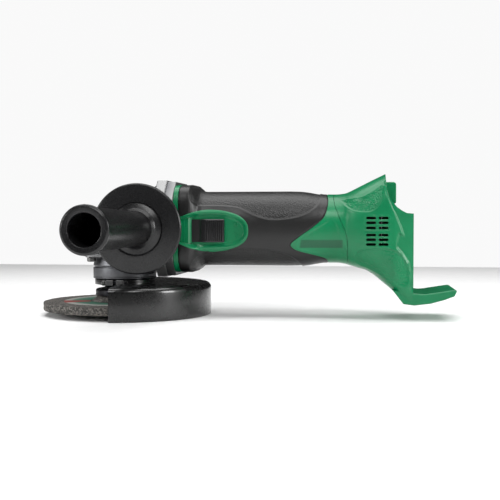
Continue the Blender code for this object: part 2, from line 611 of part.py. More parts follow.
def make_guard():
    """Pressed steel half guard with a collar that is clamped round the bearing cover's neck."""
    low, top, outer, wall = -GUARD_BELOW_SPINDLE, GUARD_TOP_Z, GUARD_OUTER, GUARD_WALL
    corner = GUARD_CORNER
    middle = (outer - corner, top - corner)
    outside = arc(middle, corner, 90, 0, 3)
    inside = arc(middle, corner - wall, 0, 90, 2)
    bore = COVER_NECK_RADIUS + GAP
    guard = turned("wheel_guard", [
        (bore + 0.0005, top), *outside, (outer, low + 0.0015), (outer - 0.0008, low),
        (outer - wall - 0.0012, low),
        (outer - wall - 0.0012, low + 0.0015), (outer - wall, low + 0.0022), *inside,
        (bore + 0.0005, top - wall)],
        BLACK_STEEL, steps=44)
    reach = outer + 0.01
    half = block("guard_half_cutter", (GUARD_FRONT_X, -reach, low - 0.01), (reach, reach, top + 0.01))
    combine(guard, "INTERSECT", half)
    collar_low = top - wall
    collar = tube("guard_collar_join", bore, COLLAR_RADIUS, collar_low, NECK_LOW + COLLAR_HEIGHT, steps=24)
    ear_y = -COLLAR_RADIUS - 0.0062
    ears = block("guard_ears_join", (-0.0075, ear_y, collar_low),
                 (0.0075, -bore - 0.0010, NECK_LOW + COLLAR_HEIGHT))
    combine(guard, "UNION", collar, ears)
    split = block("guard_split_cutter", (-0.0012, ear_y - 0.001, collar_low - 0.001),
                  (0.0012, -bore + 0.003, top + 0.006))
    screw_y = -COLLAR_RADIUS - 0.0030
    screw_z = (collar_low + NECK_LOW + COLLAR_HEIGHT) / 2
    hole = rod("guard_screw_hole_cutter", 0.0015 + GAP, -0.009, 0.012, axis="X", at=(0, screw_y, screw_z),
               steps=12)
    combine(guard, "DIFFERENCE", split, hole)
    turned("guard_clamp_screw", [
        (0, 0.0095), (0.0015, 0.0095), (0.0015, -0.0078), (0.0022, -0.0078), (0.0022, -0.0105),
        (0, -0.0105)],
        BLACK_STEEL, axis="X", at=(0, screw_y, screw_z), steps=16)


# ---------------------------------------------------------------- side handle
def make_side_handle():
    """Hollow moulded grip with a hand flange, screwed to the gear case by a stud."""
    root, disc, end = GAP, HANDLE_FLANGE_OFFSET, HANDLE_LENGTH
    grip, bore, rim = HANDLE_GRIP_RADIUS, HANDLE_BORE_RADIUS, HANDLE_FLANGE_RADIUS
    stud_hole = STUD_RADIUS + GAP
    shelf = disc + 0.012
    at = (HANDLE_AXIS_X, -BOSS_FACE_Y, MOTOR_AXIS_Z)
    turned("side_handle_grip", [
        (bore, end), (grip + 0.0012, end), (grip + 0.002, end - 0.0012), (grip + 0.002, end - 0.004),
        (grip + 0.001, end - 0.007), (grip + 0.0007, end - 0.02), (grip, end - 0.065),
        (grip - 0.001, disc + 0.010),
        (grip - 0.0005, disc + 0.0062), (grip + 0.002, disc + 0.0036), (grip + 0.006, disc + 0.0012),
        (grip + 0.0065, disc + 0.0025), (rim - 0.0008, disc + 0.0015), (rim, disc + 0.0007),
        (rim, disc - 0.0007),
        (rim - 0.0008, disc - 0.0015), (grip, disc - 0.003), (BOSS_RADIUS - 0.001, disc - 0.006),
        (BOSS_RADIUS - 0.001, root), (stud_hole, root), (stud_hole, shelf), (bore, shelf)],
        BLACK_NYLON, axis="-Y", at=at, steps=24)
    turned("side_handle_stud", [
        (0, shelf + 0.0060), (0.0065, shelf + 0.0060), (0.0065, shelf + GAP), (STUD_RADIUS, shelf + GAP),
        (STUD_RADIUS, -STUD_DEPTH), (0, -STUD_DEPTH)], STEEL, axis="-Y", at=at, steps=18)


# ---------------------------------------------------------------- motor
def slotted_section(slots, outer, root, share):
    """Outline points of a slotted drum: lands at the outer radius, slots down to the root."""
    points = []
    pitch = 2 * math.pi / slots
    for slot in range(slots):
        for edge, radius in ((-share, root), (-share, outer), (0, outer), (share, outer), (share, root)):
            angle = pitch * (slot + edge / 2)
            points.append((radius * math.sin(angle), radius * math.cos(angle)))
    return points


def slotted_drum(name, slots, outer, root, share, bore, low, high, material):
    """A slotted drum along the motor's axis with a bore for the shaft."""
    rings = [[(x, y * k, MOTOR_AXIS_Z + z * k) for x, k in ((low, 1), (high, 1))]
             + [(x, bore * y / math.hypot(y, z), MOTOR_AXIS_Z + bore * z / math.hypot(y,
                                                                                      z)) for x in (high,
                                                                                                    low)]
             for y, z in slotted_section(slots, outer, root, share)]
    return loft(name, rings, material, closed=True)


def make_motor():
    """Shaft, bearings, fan, rotor, commutator, brushes, yoke and magnets on the motor's axis."""
    at = (0, 0, MOTOR_AXIS_Z)
    bore = SHAFT_RADIUS + GAP
    bearing_low = HEAD_LENGTH - 0.0107
    turned("motor_shaft", [
        (0, SHAFT_END), (SHAFT_RADIUS - 0.0005, SHAFT_END), (SHAFT_RADIUS - 0.0005,
                                                             REAR_BEARING_X - 0.0005),
        (SHAFT_RADIUS, REAR_BEARING_X - 0.0005), (SHAFT_RADIUS, RING_PITCH_RADIUS + 0.001),
        (PINION_SEAT_RADIUS, RING_PITCH_RADIUS + 0.001), (PINION_SEAT_RADIUS, RING_INNER - 0.0002),
        (0, RING_INNER - 0.0002)], STEEL, axis="X", at=at, steps=20)
    tube("front_bearing", bore, FRONT_BEARING_RADIUS, bearing_low, bearing_low + FRONT_BEARING_WIDTH,
         STEEL,
         axis="X", at=at, steps=20)
    tube("rear_bearing", SHAFT_RADIUS - 0.0005 + GAP, REAR_BEARING_RADIUS, REAR_BEARING_X,
         REAR_BEARING_X + REAR_BEARING_WIDTH, STEEL, axis="X", at=at, steps=20)

    disc_x = FAN_X + FAN_LENGTH - 0.0015
    hub = 0.0085
    fan = turned("cooling_fan", [
        (bore, FAN_X + FAN_LENGTH), (FAN_RADIUS, FAN_X + FAN_LENGTH), (FAN_RADIUS, disc_x), (hub, disc_x),
        (hub, FAN_X), (bore, FAN_X)], BLACK_NYLON, axis="X", at=at, steps=24)
    for k in range(FAN_BLADES):
        blade = block(f"fan_blade_join_{k}", (FAN_X + 0.001, -0.0006, hub - 0.0006),
                      (disc_x + 0.0005, 0.0006, FAN_RADIUS - 0.0008))
        blade.rotation_euler = (2 * math.pi * k / FAN_BLADES, 0, 0)
        blade.location = at
        combine(fan, "UNION", blade)
    tube("fan_baffle", COIL_RADIUS + 0.0035, COLLAR_HALF - INNER_OFFSET - GAP, COLLAR_END - 0.0018,
         COLLAR_END,
         BLACK_NYLON, axis="X", at=at, steps=28)

    slotted_drum("rotor_core", ROTOR_SLOTS, ROTOR_RADIUS, ROTOR_RADIUS - 0.0045, 0.78, bore, ROTOR_X,
                 ROTOR_END,
                 BLACK_STEEL)
    for name, low, high in (("winding_front", ROTOR_X - 0.0068, ROTOR_X - GAP),
                            ("winding_rear", ROTOR_END + GAP, ROTOR_END + 0.0068)):
        middle, half = (low + high) / 2, (high - low) / 2
        turned(name, [(bore, high), (COIL_RADIUS - 0.002, high), (COIL_RADIUS, middle + half * 0.4),
                      (COIL_RADIUS, middle - half * 0.4), (COIL_RADIUS - 0.002, low), (bore, low)],
               COPPER, axis="X", at=at, steps=20)
    slotted_drum("commutator", COMMUTATOR_BARS, COMMUTATOR_RADIUS, COMMUTATOR_RADIUS - 0.0007, 0.9, bore,
                 COMMUTATOR_X, COMMUTATOR_X + COMMUTATOR_LENGTH, COPPER)

    tube("motor_yoke", MAGNET_RADIUS + GAP, YOKE_RADIUS, ROTOR_X - 0.004, ROTOR_END + 0.006, BLACK_STEEL,
         axis="X",
         at=at, steps=28)
    for name, side in (("magnet_upper", 1), ("magnet_lower", -1)):
        outline = arc((0, 0), MAGNET_RADIUS, side * 90 - 62, side * 90 + 62, 10)
        outline += arc((0, 0), MAGNET_RADIUS - MAGNET_THICKNESS, side * 90 + 62, side * 90 - 62, 10)
        prism(name, [(y, MOTOR_AXIS_Z + z) for y, z in outline], ROTOR_X + 0.001, ROTOR_END - 0.001,
              FERRITE,
              axis="X")

    brush_x = COMMUTATOR_X + 0.0028
    brush_end = brush_x + 0.0064
    holder_end = BARREL_INNER - 0.0009
    for name, side in (("upper", 1), ("lower", -1)):
        def reach(low, high):
            return sorted((MOTOR_AXIS_Z + side * low, MOTOR_AXIS_Z + side * high))
        low, high = reach(COMMUTATOR_RADIUS + GAP, COMMUTATOR_RADIUS + 0.0098)
        block(f"carbon_brush_{name}", (brush_x, -0.0025, low), (brush_end, 0.0025, high), CARBON)
        low, high = reach(COMMUTATOR_RADIUS + 0.002, holder_end)
        holder = block(f"brush_holder_{name}", (brush_x - 0.0013, -0.0038, low),
                       (brush_end + 0.0013, 0.0038, high),
                       BRASS)
        low, high = reach(COMMUTATOR_RADIUS, holder_end - 0.001)
        hollow = block(f"brush_slot_cutter_{name}", (brush_x - GAP, -0.0025 - GAP, low),
                       (brush_end + GAP, 0.0025 + GAP, high))
        combine(holder, "DIFFERENCE", hollow)


# ---------------------------------------------------------------- housings
def housing_stations():
    """(x, half width, top, bottom, squareness) from the gear case to behind the battery end."""
    collar, barrel, waist = COLLAR_HALF, BARREL_RADIUS, WAIST
    half = [(HOUSING_X, collar, 5), (COLLAR_END, collar, 5), (COLLAR_END + 0.003, collar - 0.0014, 4),
            (COLLAR_END + 0.0065, barrel + 0.0004, 2.7), (COLLAR_END + 0.010, barrel, 2.3),
            (BARREL_END - 0.006, barrel, 2.3), (BARREL_END + 0.001, waist + WAIST_DEPTH * 0.7, 2.3),
            (BARREL_END + 0.007, waist + WAIST_DEPTH * 0.3, 2.3), (GRIP_END - 0.002, waist, 2.3),
            (GRIP_END + 0.0065, waist, 2.3)]
    stations = [(x, size, size, -size, power) for x, size, power in half]
    widening = REAR_HALF_WIDTH - waist
    for back, share, rise, drop, power in (
            (0.0495, 0.08, 0.0007, 0.0007, 2.4), (0.0465, 0.24, 0.0019, 0.0019, 2.5),
            (0.0404, 0.50, 0.0049, 0.0033, 2.7), (0.0344, 0.70, 0.0078, 0.0050, 2.9),
            (0.0285, 0.84, 0.0108, 0.0084, 3.1), (0.0225, 0.93, 0.0136, 0.0132, 3.5),
            (0.0165, 1.0, 0.0163, 0.0178, 4.2), (0.0136, 1.0, 0.0176, 0.0200, 4.8),
            (0.0076, 0.80, 0.0202, 0.0262, 6.5), (0.0046, 0.71, 0.0215, 0.0286, 7.5),
            (0.0, 0.58, 0.0235, 0.0294, 8.0), (-0.0060, 0.4, 0.026, 0.0294, 8.0)):
        stations.append((REAR_END_X - back, waist + widening * share, waist + rise, -waist - drop, power))
    return stations


def skin(name, offset, first=0, last=None, material=None):
    """The housing's outer surface, moved inwards by offset, as a solid between two stations."""
    rings = [oval_ring(x, width - offset, top - offset, bottom + offset, power)
             for x, width, top, bottom, power in housing_stations()[first:last]]
    return loft(name, rings, material)


def station_at(x):
    """Half width, top, bottom and squareness of the housing at any place along it."""
    stations = housing_stations()
    for a, b in zip(stations, stations[1:]):
        if a[0] <= x <= b[0]:
            share = (x - a[0]) / (b[0] - a[0])
            return [p + (q - p) * share for p, q in zip(a, b)][1:]
    return stations[-1][1:]


def skin_reach(x, height, offset):
    """Half width of the housing's surface at a place along it and a height from the motor's axis."""
    width, top, bottom, power = station_at(x)
    level = abs(height - (top + bottom) / 2) / ((top - bottom) / 2 - offset)
    return (width - offset) * max(0, 1 - level ** power) ** (1 / power)


def rib(name, bore, low, high, offset):
    """A wall across the housing with a round bore; its rim is sunk into the housing's wall."""
    rings = []
    for x in (low, high):
        width, top, bottom, power = station_at(x)
        rings.append(oval_ring(x, width - offset, top - offset, bottom + offset, power))
    web = loft(name, rings)
    hole = rod(name.replace("join", "cutter"), bore, low - 0.001, high + 0.001, axis="X",
               at=(0, 0, MOTOR_AXIS_Z),
               steps=24)
    return combine(web, "DIFFERENCE", hole)


def smooth_line(points, count=3):
    """Points on a smooth curve through the given ones."""
    line = []
    ends = [points[0]] + list(points) + [points[-1]]
    for a, b, c, d in zip(ends, ends[1:], ends[2:], ends[3:]):
        for k in range(count):
            t = k / count
            weights = (2 * t * t - t - t ** 3, 2 - 5 * t * t + 3 * t ** 3,
                       t + 4 * t * t - 3 * t ** 3, t ** 3 - t * t)
            line.append(tuple(sum(w * v for w, v in zip(weights, four)) / 2 for four in zip(a, b, c, d)))
    return line + [points[-1]]


def side_outline(points):
    """Moves side-view points from heights above the motor's axis to heights above the origin."""
    return [(x, MOTOR_AXIS_Z + z) for x, z in points]


def seam_line(shift):
    """The joint of motor housing and rear housing in side view, from top to bottom."""
    high, low, steps = 0.025, -0.012, 8
    line = [(SEAM_TOP_X + shift, 0.09)]
    for i in range(steps + 1):
        t = i / steps
        line.append((SEAM_TOP_X + shift + (SEAM_LOW_X - SEAM_TOP_X) * t * t * (3 - 2 * t),
                     high + (low - high) * t))
    return line + [(SEAM_LOW_X + shift, -0.09)]


def grip_edge(shift):
    """Rear edge of the soft grip in side view: it runs forward to a point round the green wedge."""
    points = [(0, 0.0244), (0.001, 0.0209), (0.0007, 0.016), (-0.0014, 0.009), (-0.0073, 0.003),
              (-0.0188, -0.0054), (-0.0262, -0.0117), (-0.0191, -0.0167), (-0.0076, -0.0197),
              (-0.0007, -0.0221),
              (0.0008, -0.0254)]
    line = [(GRIP_END + x + shift, z) for x, z in points]
    return [(line[0][0], 0.09)] + smooth_line(line, 2) + [(line[-1][0], -0.09)]


def arch_outline(offset):
    """Outline of the green switch surround: open at the front, round at the rear."""
    centre, length = COLLAR_END + 0.015, 0.0294
    height, front_height, front = 0.0157, 0.0078, HOUSING_X + 0.004
    upper = []
    for i in range(7):
        t = i / 6
        upper.append((front + (centre - front) * t,
                      front_height + (height - front_height) * math.sin(math.pi / 2 * t) + offset))
    for i in range(1, 9):
        angle = math.pi / 2 * (1 - i / 8)
        upper.append((centre + (length + offset) * math.cos(angle),
                      (height + offset) * math.sin(angle) ** 0.8))
    lower = [(x, -z) for x, z in reversed(upper[:-1])]
    return [(x, KNOB_Z + z) for x, z in upper[:-1]] + [(upper[-1][0], KNOB_Z)] + [(x, KNOB_Z + z) for x,
                                                                                  z in lower]


def screw_places():
    """Side-view places of the screws that hold the housing halves together."""
    return [(BARREL_END + 0.011, BOSS_SPREAD), (BARREL_END + 0.011, -BOSS_SPREAD),
            (REAR_END_X - 0.033, 0.0215), (REAR_END_X - 0.0175, -0.0345)]


def in_rear(index):
    return index >= 2


def join_bosses(half, label, side, rear):
    """Screw bosses inside one housing half, with their holes."""
    for k, (x, z) in enumerate(screw_places()):
        if in_rear(k) != rear:
            continue
        offset = REAR_WALL if rear else INNER_OFFSET
        reach = skin_reach(x, z + math.copysign(0.0036, z), offset) + 0.0008
        at = (x, 0, MOTOR_AXIS_Z + z)
        boss = rod(f"{label}_boss_join_{k}", 0.0036, *sorted((0, side * reach)), axis="Y", at=at, steps=16)
        combine(half, "UNION", boss)
        ends = (-0.0115, 0.001) if side < 0 else (-0.001, 0.05)
        hole = rod(f"{label}_screw_cutter_{k}", 0.0016 + GAP, *ends, axis="Y", at=at, steps=12)
        combine(half, "DIFFERENCE", hole)
        if side > 0:
            pocket = rod(f"{label}_head_cutter_{k}", 0.0030 + GAP, 0.008, 0.05, axis="Y", at=at, steps=16)
            combine(half, "DIFFERENCE", pocket)


def make_housing_screws():
    for k, (x, z) in enumerate(screw_places()):
        turned(f"housing_screw_{k + 1}", [
            (0, 0.0108), (0.0030, 0.0108), (0.0030, 0.008 + GAP), (0.0016, 0.008 + GAP), (0.0016, -0.011),
            (0, -0.011)], BLACK_STEEL, axis="Y", at=(x, 0, MOTOR_AXIS_Z + z), steps=10)


def half_space(name, side, outline):
    """A prism over one side of the tool, cut off just short of the parting plane."""
    return prism(name, side_outline(outline), *sorted((side * GAP / 2, side * 0.06)))


def make_motor_housing():
    """Green housing halves, each under its black soft-grip skin."""
    front = HOUSING_X - 0.002
    grip_start = HOUSING_X + 0.004
    for label, side in (("left", -1), ("right", 1)):
        shell = skin(f"motor_housing_{label}", 0, 0, 13, GREEN)
        cavity = skin(f"cavity_cutter_{label}", INNER_OFFSET, 0, 14)
        mouth = loft(f"mouth_cutter_{label}", [
            oval_ring(x, COLLAR_HALF - INNER_OFFSET, COLLAR_HALF - INNER_OFFSET,
                      INNER_OFFSET - COLLAR_HALF, 5)
            for x in (front, HOUSING_X + 0.003)])
        combine(shell, "DIFFERENCE", cavity, mouth)

        sunk = INNER_OFFSET - 0.0008
        ribs = [rib(f"bearing_rib_join_{label}", REAR_BEARING_RADIUS + GAP, REAR_BEARING_X - 0.0005,
                    RIB_END, sunk)]
        ribs += [rib(f"yoke_rib_join_{label}_{k}", YOKE_RADIUS + GAP, x, x + 0.003, sunk)
                 for k, x in enumerate((ROTOR_X + 0.006, ROTOR_END - 0.004))]
        combine(shell, "UNION", *ribs)
        for k, z in enumerate((CASE_SCREW_Z, -CASE_SCREW_Z)):
            place = (0, side * CASE_SCREW_Y, MOTOR_AXIS_Z + z)
            boss = rod(f"front_boss_join_{label}_{k}", 0.0039, HOUSING_X + 0.0008, COLLAR_END - 0.0025,
                       axis="X", at=place, steps=16)
            hole = rod(f"front_hole_cutter_{label}_{k}", 0.002 + GAP, front, HOUSING_X + 0.0125, axis="X",
                       at=place,
                       steps=12)
            combine(shell, "UNION", boss)
            combine(shell, "DIFFERENCE", hole)

        pocket = skin(f"pocket_cutter_{label}", -0.002, 0, 13)
        core = skin(f"pocket_core_cutter_{label}", OVERMOLD_THICKNESS + GAP, 0, 14)
        core_mouth = block(f"pocket_front_cutter_{label}", (front - 0.01, -0.05, 0),
                           (grip_start, 0.05, 0.13))
        zone = [(grip_start, 0.09)] + grip_edge(0) + [(grip_start, -0.09)]
        combine(pocket, "DIFFERENCE", core, core_mouth)
        combine(pocket, "INTERSECT", prism(f"pocket_zone_cutter_{label}", side_outline(zone), -0.06, 0.06))
        cover = skin(f"overmold_{label}", 0, 0, 13, ELASTOMER)
        cover_core = skin(f"overmold_core_cutter_{label}", OVERMOLD_THICKNESS, 0, 14)
        zone = [(grip_start + GAP, 0.09)] + grip_edge(-GAP) + [(grip_start + GAP, -0.09)]
        combine(cover, "DIFFERENCE", cover_core)
        combine(cover, "INTERSECT", half_space(f"overmold_zone_cutter_{label}", side, zone))

        if side < 0:
            surround = prism("arch_cutter", side_outline(arch_outline(0)), -0.06, 0.06)
            combine(pocket, "DIFFERENCE", surround)
            combine(cover, "DIFFERENCE", prism("arch_gap_cutter", side_outline(arch_outline(GAP)), -0.06,
                                               0.01))
        combine(shell, "DIFFERENCE", pocket)
        join_bosses(shell, f"motor_{label}", side, False)
        if side > 0:
            for k, (x, z) in enumerate(screw_places()[:2]):
                hole = rod(f"overmold_hole_cutter_{k}", 0.0038, 0, 0.05, axis="Y",
                           at=(x, 0, MOTOR_AXIS_Z + z),
                           steps=16)
                combine(cover, "DIFFERENCE", hole)
        else:
            cut_switch_recess(shell)
        region = [(front, 0.09)] + seam_line(-GAP / 2) + [(front, -0.09)]
        combine(shell, "INTERSECT", half_space(f"motor_zone_cutter_{label}", side, region))


def cut_switch_recess(shell):
    """Pad, recess, slot and slide-bar channel in the left housing half."""
    middle = MOTOR_AXIS_Z + KNOB_Z
    pad_low, recess_x = COLLAR_END + 0.0003, COLLAR_END + 0.0018
    pad = block("switch_pad_join", (pad_low, -FLOOR_Y - 0.003, middle - 0.0125),
                (pad_low + 0.012, -FLOOR_Y + 0.0017, middle + 0.0125))
    combine(shell, "UNION", pad)
    half = KNOB_HEIGHT / 2 + 0.0012
    rear, round_x = COLLAR_END + 0.040, COLLAR_END + 0.026
    outline = [(recess_x, -half), (round_x, -half)]
    outline += [(round_x + (rear - round_x) * math.sin(math.radians(a)), -half * math.cos(math.radians(a)))
                for a in range(20, 180, 20)]
    outline += [(round_x, half), (recess_x, half)]
    recess = prism("recess_cutter", side_outline([(x, z + KNOB_Z) for x, z in outline]), -0.06, -FLOOR_Y)
    step_y = COLLAR_HALF - INNER_OFFSET + 0.0016
    step = block("recess_front_cutter", (HOUSING_X + 0.006, -0.06, middle - 0.008),
                 (recess_x + 0.001, -step_y, middle + 0.008))
    slot = block("slide_slot_cutter", (KNOB_X - 0.0032 - SLIDE_TRAVEL - 0.0008, -0.04, middle - 0.0032),
                 (KNOB_X + 0.0040, -0.015, middle + 0.0032))
    channel_half = BAR_HEIGHT / 2 + 0.0006
    yoke_notch = block("bar_channel_cutter", (ROTOR_X - 0.003, -BAR_OUTER - 0.0006,
                                              MOTOR_AXIS_Z - channel_half),
                       (ROTOR_END + 0.006, -YOKE_RADIUS + 0.002, MOTOR_AXIS_Z + channel_half))
    rib_notch = block("bar_rib_cutter", (REAR_BEARING_X - 0.002, -BAR_OUTER + 0.001,
                                         MOTOR_AXIS_Z - channel_half),
                      (RIB_END + 0.002, -YOKE_RADIUS + 0.005, MOTOR_AXIS_Z + channel_half))
    combine(shell, "DIFFERENCE", recess, step, slot, yoke_notch, rib_notch)


def make_rear_housing():
    """Green rear housing halves: vents, battery plate, rails, latch block and foot."""
    end = REAR_END_X
    edge = [(end - 0.0197, 0.0310), (end - 0.0184, 0.0250), (end - 0.0156, 0.0200), (end - 0.0120, 0.0157),
            (end - 0.0085, 0.0132), (end - 0.0050, 0.0114), (end, 0.0110)]
    behind = [(end + 0.05, 0.09), (end - 0.0200, 0.09)] + edge + [(end, -0.09), (end + 0.05, -0.09)]
    inner_end = PLATE_X - 0.0027
    inside = [(BARREL_END, 0.09), (end - 0.0222, 0.09), (end - 0.0222, 0.018), (inner_end, 0.0075),
              (inner_end, -0.09), (BARREL_END, -0.09)]
    foot = [(end - 0.0115, FOOT_TOP - 0.0020), (end, FOOT_TOP - 0.0003), (end + 0.008, FOOT_TOP - 0.0010),
            (end + 0.0187, FOOT_TOP + 0.0006), (end + FOOT_LENGTH - 0.0015, FOOT_TOP + 0.0022),
            (end + FOOT_LENGTH, FOOT_TOP + 0.0010), (end + FOOT_LENGTH - 0.0015, FOOT_TOP - 0.0022),
            (end + 0.022, FOOT_TOP - 0.0050), (end + 0.012, FOOT_TOP - 0.0077), (end, FOOT_TOP - 0.0088),
            (end - 0.004, FOOT_TOP - 0.0080), (end - 0.008, FOOT_TOP - 0.0054)]
    for label, side in (("left", -1), ("right", 1)):
        shell = skin(f"rear_housing_{label}", 0, 7, None, GREEN)
        cavity = skin(f"rear_cavity_cutter_{label}", REAR_WALL, 6, None)
        combine(cavity, "INTERSECT", prism(f"rear_inside_cutter_{label}", side_outline(inside), -0.05,
                                           0.05))
        combine(shell, "DIFFERENCE", cavity,
                prism(f"rear_edge_cutter_{label}", side_outline(behind), -0.06, 0.06))
        channel = block(f"channel_cutter_{label}", (PLATE_X, -CHANNEL_HALF_WIDTH,
                                                    MOTOR_AXIS_Z + FOOT_TOP + 0.001),
                        (end + 0.02, CHANNEL_HALF_WIDTH, 0.13))
        combine(shell, "DIFFERENCE", channel)
        groove_y = sorted((side * (CHANNEL_HALF_WIDTH - 0.001), side * (CHANNEL_HALF_WIDTH + 0.0026)))
        groove = block(f"rail_groove_cutter_{label}", (PLATE_X + 0.0005, groove_y[0],
                                                       MOTOR_AXIS_Z - 0.040),
                       (PLATE_X + 0.0005 + RAIL_GROOVE, groove_y[1], MOTOR_AXIS_Z + 0.0160))
        combine(shell, "DIFFERENCE", groove)
        step = prism(f"foot_join_{label}", side_outline(foot), -FOOT_HALF_WIDTH, FOOT_HALF_WIDTH)
        latch = block(f"latch_join_{label}", (end - 0.0220, -0.015, MOTOR_AXIS_Z + 0.0177),
                      (end - 0.0120, 0.015, MOTOR_AXIS_Z + 0.0346))
        combine(shell, "UNION", step, latch)
        for column in range(2):
            for row, z in enumerate((0.0078, 0.0042, 0.0005, -0.0044, -0.0078, -0.0112)):
                low_x = end - 0.0338 + 0.0088 * column
                vent = block(f"vent_cutter_{label}_{column}_{row}",
                             (low_x, min(0, side * 0.06), MOTOR_AXIS_Z + z - 0.0009),
                             (low_x + 0.0070, max(0, side * 0.06), MOTOR_AXIS_Z + z + 0.0009))
                combine(shell, "DIFFERENCE", vent)
        join_bosses(shell, f"rear_{label}", side, True)
        region = [(end + 0.06, 0.09)] + seam_line(GAP / 2) + [(end + 0.06, -0.09)]
        combine(shell, "INTERSECT", half_space(f"rear_zone_cutter_{label}", side, region))


# ---------------------------------------------------------------- switch and electrics
def make_switch():
    """Knob, its slide bar, the seal under the knob and the switch that the bar works."""
    half_length, half_height = KNOB_LENGTH / 2, KNOB_HEIGHT / 2
    middle = MOTOR_AXIS_Z + KNOB_Z
    knob = block("slide_knob", (KNOB_X - half_length, -KNOB_Y - KNOB_RISE, middle - half_height),
                 (KNOB_X + half_length, -KNOB_Y, middle + half_height), BLACK_NYLON)
    stem = block("knob_stem_join", (KNOB_X - 0.0032, -KNOB_Y - 0.001, middle - 0.0022),
                 (KNOB_X + 0.0032, -BAR_OUTER - GAP, middle + 0.0022))
    combine(knob, "UNION", stem)
    for k in range(8):
        x = KNOB_X - half_length + 0.0062 + 0.0015 * k
        groove = block(f"knob_groove_cutter_{k}", (x, -KNOB_Y - KNOB_RISE - 0.001,
                                                   middle - half_height + 0.001),
                       (x + 0.0006, -KNOB_Y - KNOB_RISE + 0.0005, middle + half_height - 0.001))
        combine(knob, "DIFFERENCE", groove)
    seal = block("switch_seal", (COLLAR_END + 0.0022, -SEAL_Y - 0.0006, middle - half_height),
                 (KNOB_X + half_length - 0.001, -SEAL_Y, middle + half_height), ELASTOMER)
    slot = block("seal_slot_cutter", (KNOB_X - 0.0032 - SLIDE_TRAVEL - 0.0008, -0.04, middle - 0.0030),
                 (KNOB_X + 0.0040, -0.02, middle + 0.0030))
    combine(seal, "DIFFERENCE", slot)

    outer, inner = -BAR_OUTER, -BAR_OUTER + BAR_THICKNESS
    jog, finger = 0.0035, BAR_END - 0.0025
    start, turn = KNOB_X - 0.006, ROTOR_END + 0.013
    outline = [(start, outer), (turn, outer), (turn + jog, outer + jog), (BAR_END, outer + jog),
               (BAR_END, -0.0075),
               (finger, -0.0075), (finger, inner + jog), (turn + jog, inner + jog), (turn, inner),
               (start, inner)]
    prism("slide_bar", outline, MOTOR_AXIS_Z - BAR_HEIGHT / 2, MOTOR_AXIS_Z + BAR_HEIGHT / 2, BLACK_NYLON,
          axis="Z")
    block("switch_body", (SWITCH_X, -0.011, MOTOR_AXIS_Z - 0.009),
          (SWITCH_END, 0.011, MOTOR_AXIS_Z + 0.009),
          BLACK_NYLON)


def make_electrics():
    """Controller in the rear housing, and the battery terminals on the battery plate."""
    low_x, high_x = REAR_END_X - 0.046, PLATE_X - 0.0110
    prism("controller", rounded_rectangle(low_x, high_x, MOTOR_AXIS_Z - 0.0165, MOTOR_AXIS_Z + 0.0155,
                                          0.002),
          -0.017, 0.017, BLACK_NYLON)
    low_z, high_z = MOTOR_AXIS_Z - 0.001, MOTOR_AXIS_Z + 0.012
    front = PLATE_X + GAP
    block("terminal_block", (front, -0.0185, low_z), (front + 0.0052, 0.0185, high_z), BLACK_NYLON)
    for k, y in enumerate((-0.0145, 0.0145)):
        block(f"terminal_{k + 1}", (front + 0.0006, y - 0.0005, low_z - GAP - 0.011),
              (front + 0.0046, y + 0.0005, low_z - GAP), BRASS)


bearing_span = make_spindle_group()
make_bearing_cover(*bearing_span)
make_gears()
make_spindle_lock(make_gear_case())
make_guard()
make_side_handle()
make_motor()
make_motor_housing()
make_rear_housing()
make_housing_screws()
make_switch()
make_electrics()
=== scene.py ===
import math

import bmesh
import bpy
import numpy as np
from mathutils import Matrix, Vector


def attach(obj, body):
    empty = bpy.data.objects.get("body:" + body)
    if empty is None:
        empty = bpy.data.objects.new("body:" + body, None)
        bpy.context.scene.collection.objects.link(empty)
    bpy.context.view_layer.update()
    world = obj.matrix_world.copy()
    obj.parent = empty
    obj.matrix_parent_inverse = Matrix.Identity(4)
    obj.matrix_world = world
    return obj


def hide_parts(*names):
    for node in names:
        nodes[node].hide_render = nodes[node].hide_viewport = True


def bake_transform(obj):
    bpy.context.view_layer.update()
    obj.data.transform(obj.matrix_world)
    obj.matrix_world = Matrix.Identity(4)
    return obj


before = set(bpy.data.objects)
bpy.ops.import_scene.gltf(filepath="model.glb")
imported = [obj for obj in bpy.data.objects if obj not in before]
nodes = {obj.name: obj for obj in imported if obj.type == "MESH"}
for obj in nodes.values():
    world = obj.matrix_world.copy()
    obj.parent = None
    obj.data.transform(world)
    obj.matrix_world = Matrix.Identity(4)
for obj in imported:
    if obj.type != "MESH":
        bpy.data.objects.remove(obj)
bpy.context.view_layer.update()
mm = 0.001


# ---------------------------------------------------------------- grinding wheel
# A resin-bonded aluminium oxide disc with a raised centre, pressed in a mould and fired. Its sides show coarse
# grain and glass mesh, its rim is broken grain, and a printed paper label is bonded round the bore on top.
def linear(code):
    """An sRGB hex colour as linear RGBA."""
    values = [int(code[i:i + 2], 16) / 255 for i in (1, 3, 5)]
    return [v / 12.92 if v <= 0.04045 else ((v + 0.055) / 1.055) ** 2.4 for v in values] + [1]


def node(tree, kind, settings=None, links=None):
    """Adds a shader node, sets its sockets or properties and links its inputs."""
    made = tree.nodes.new("ShaderNode" + kind)
    for key, value in (settings or {}).items():
        if isinstance(key, int) or key in made.inputs:
            made.inputs[key].default_value = value
        else:
            setattr(made, key, value)
    for key, source in (links or {}).items():
        tree.links.new(source, made.inputs[key])
    return made


def new_finish(name, sockets):
    """A material with the given shader values, and with it its tree, shader and object coordinates."""
    finish = bpy.data.materials.new(name)
    finish.use_nodes = True
    tree = finish.node_tree
    shader = tree.nodes["Principled BSDF"]
    for key, value in sockets.items():
        shader.inputs[key].default_value = value
    places = tree.nodes.new("ShaderNodeTexCoord").outputs["Object"]
    return finish, tree, shader, places


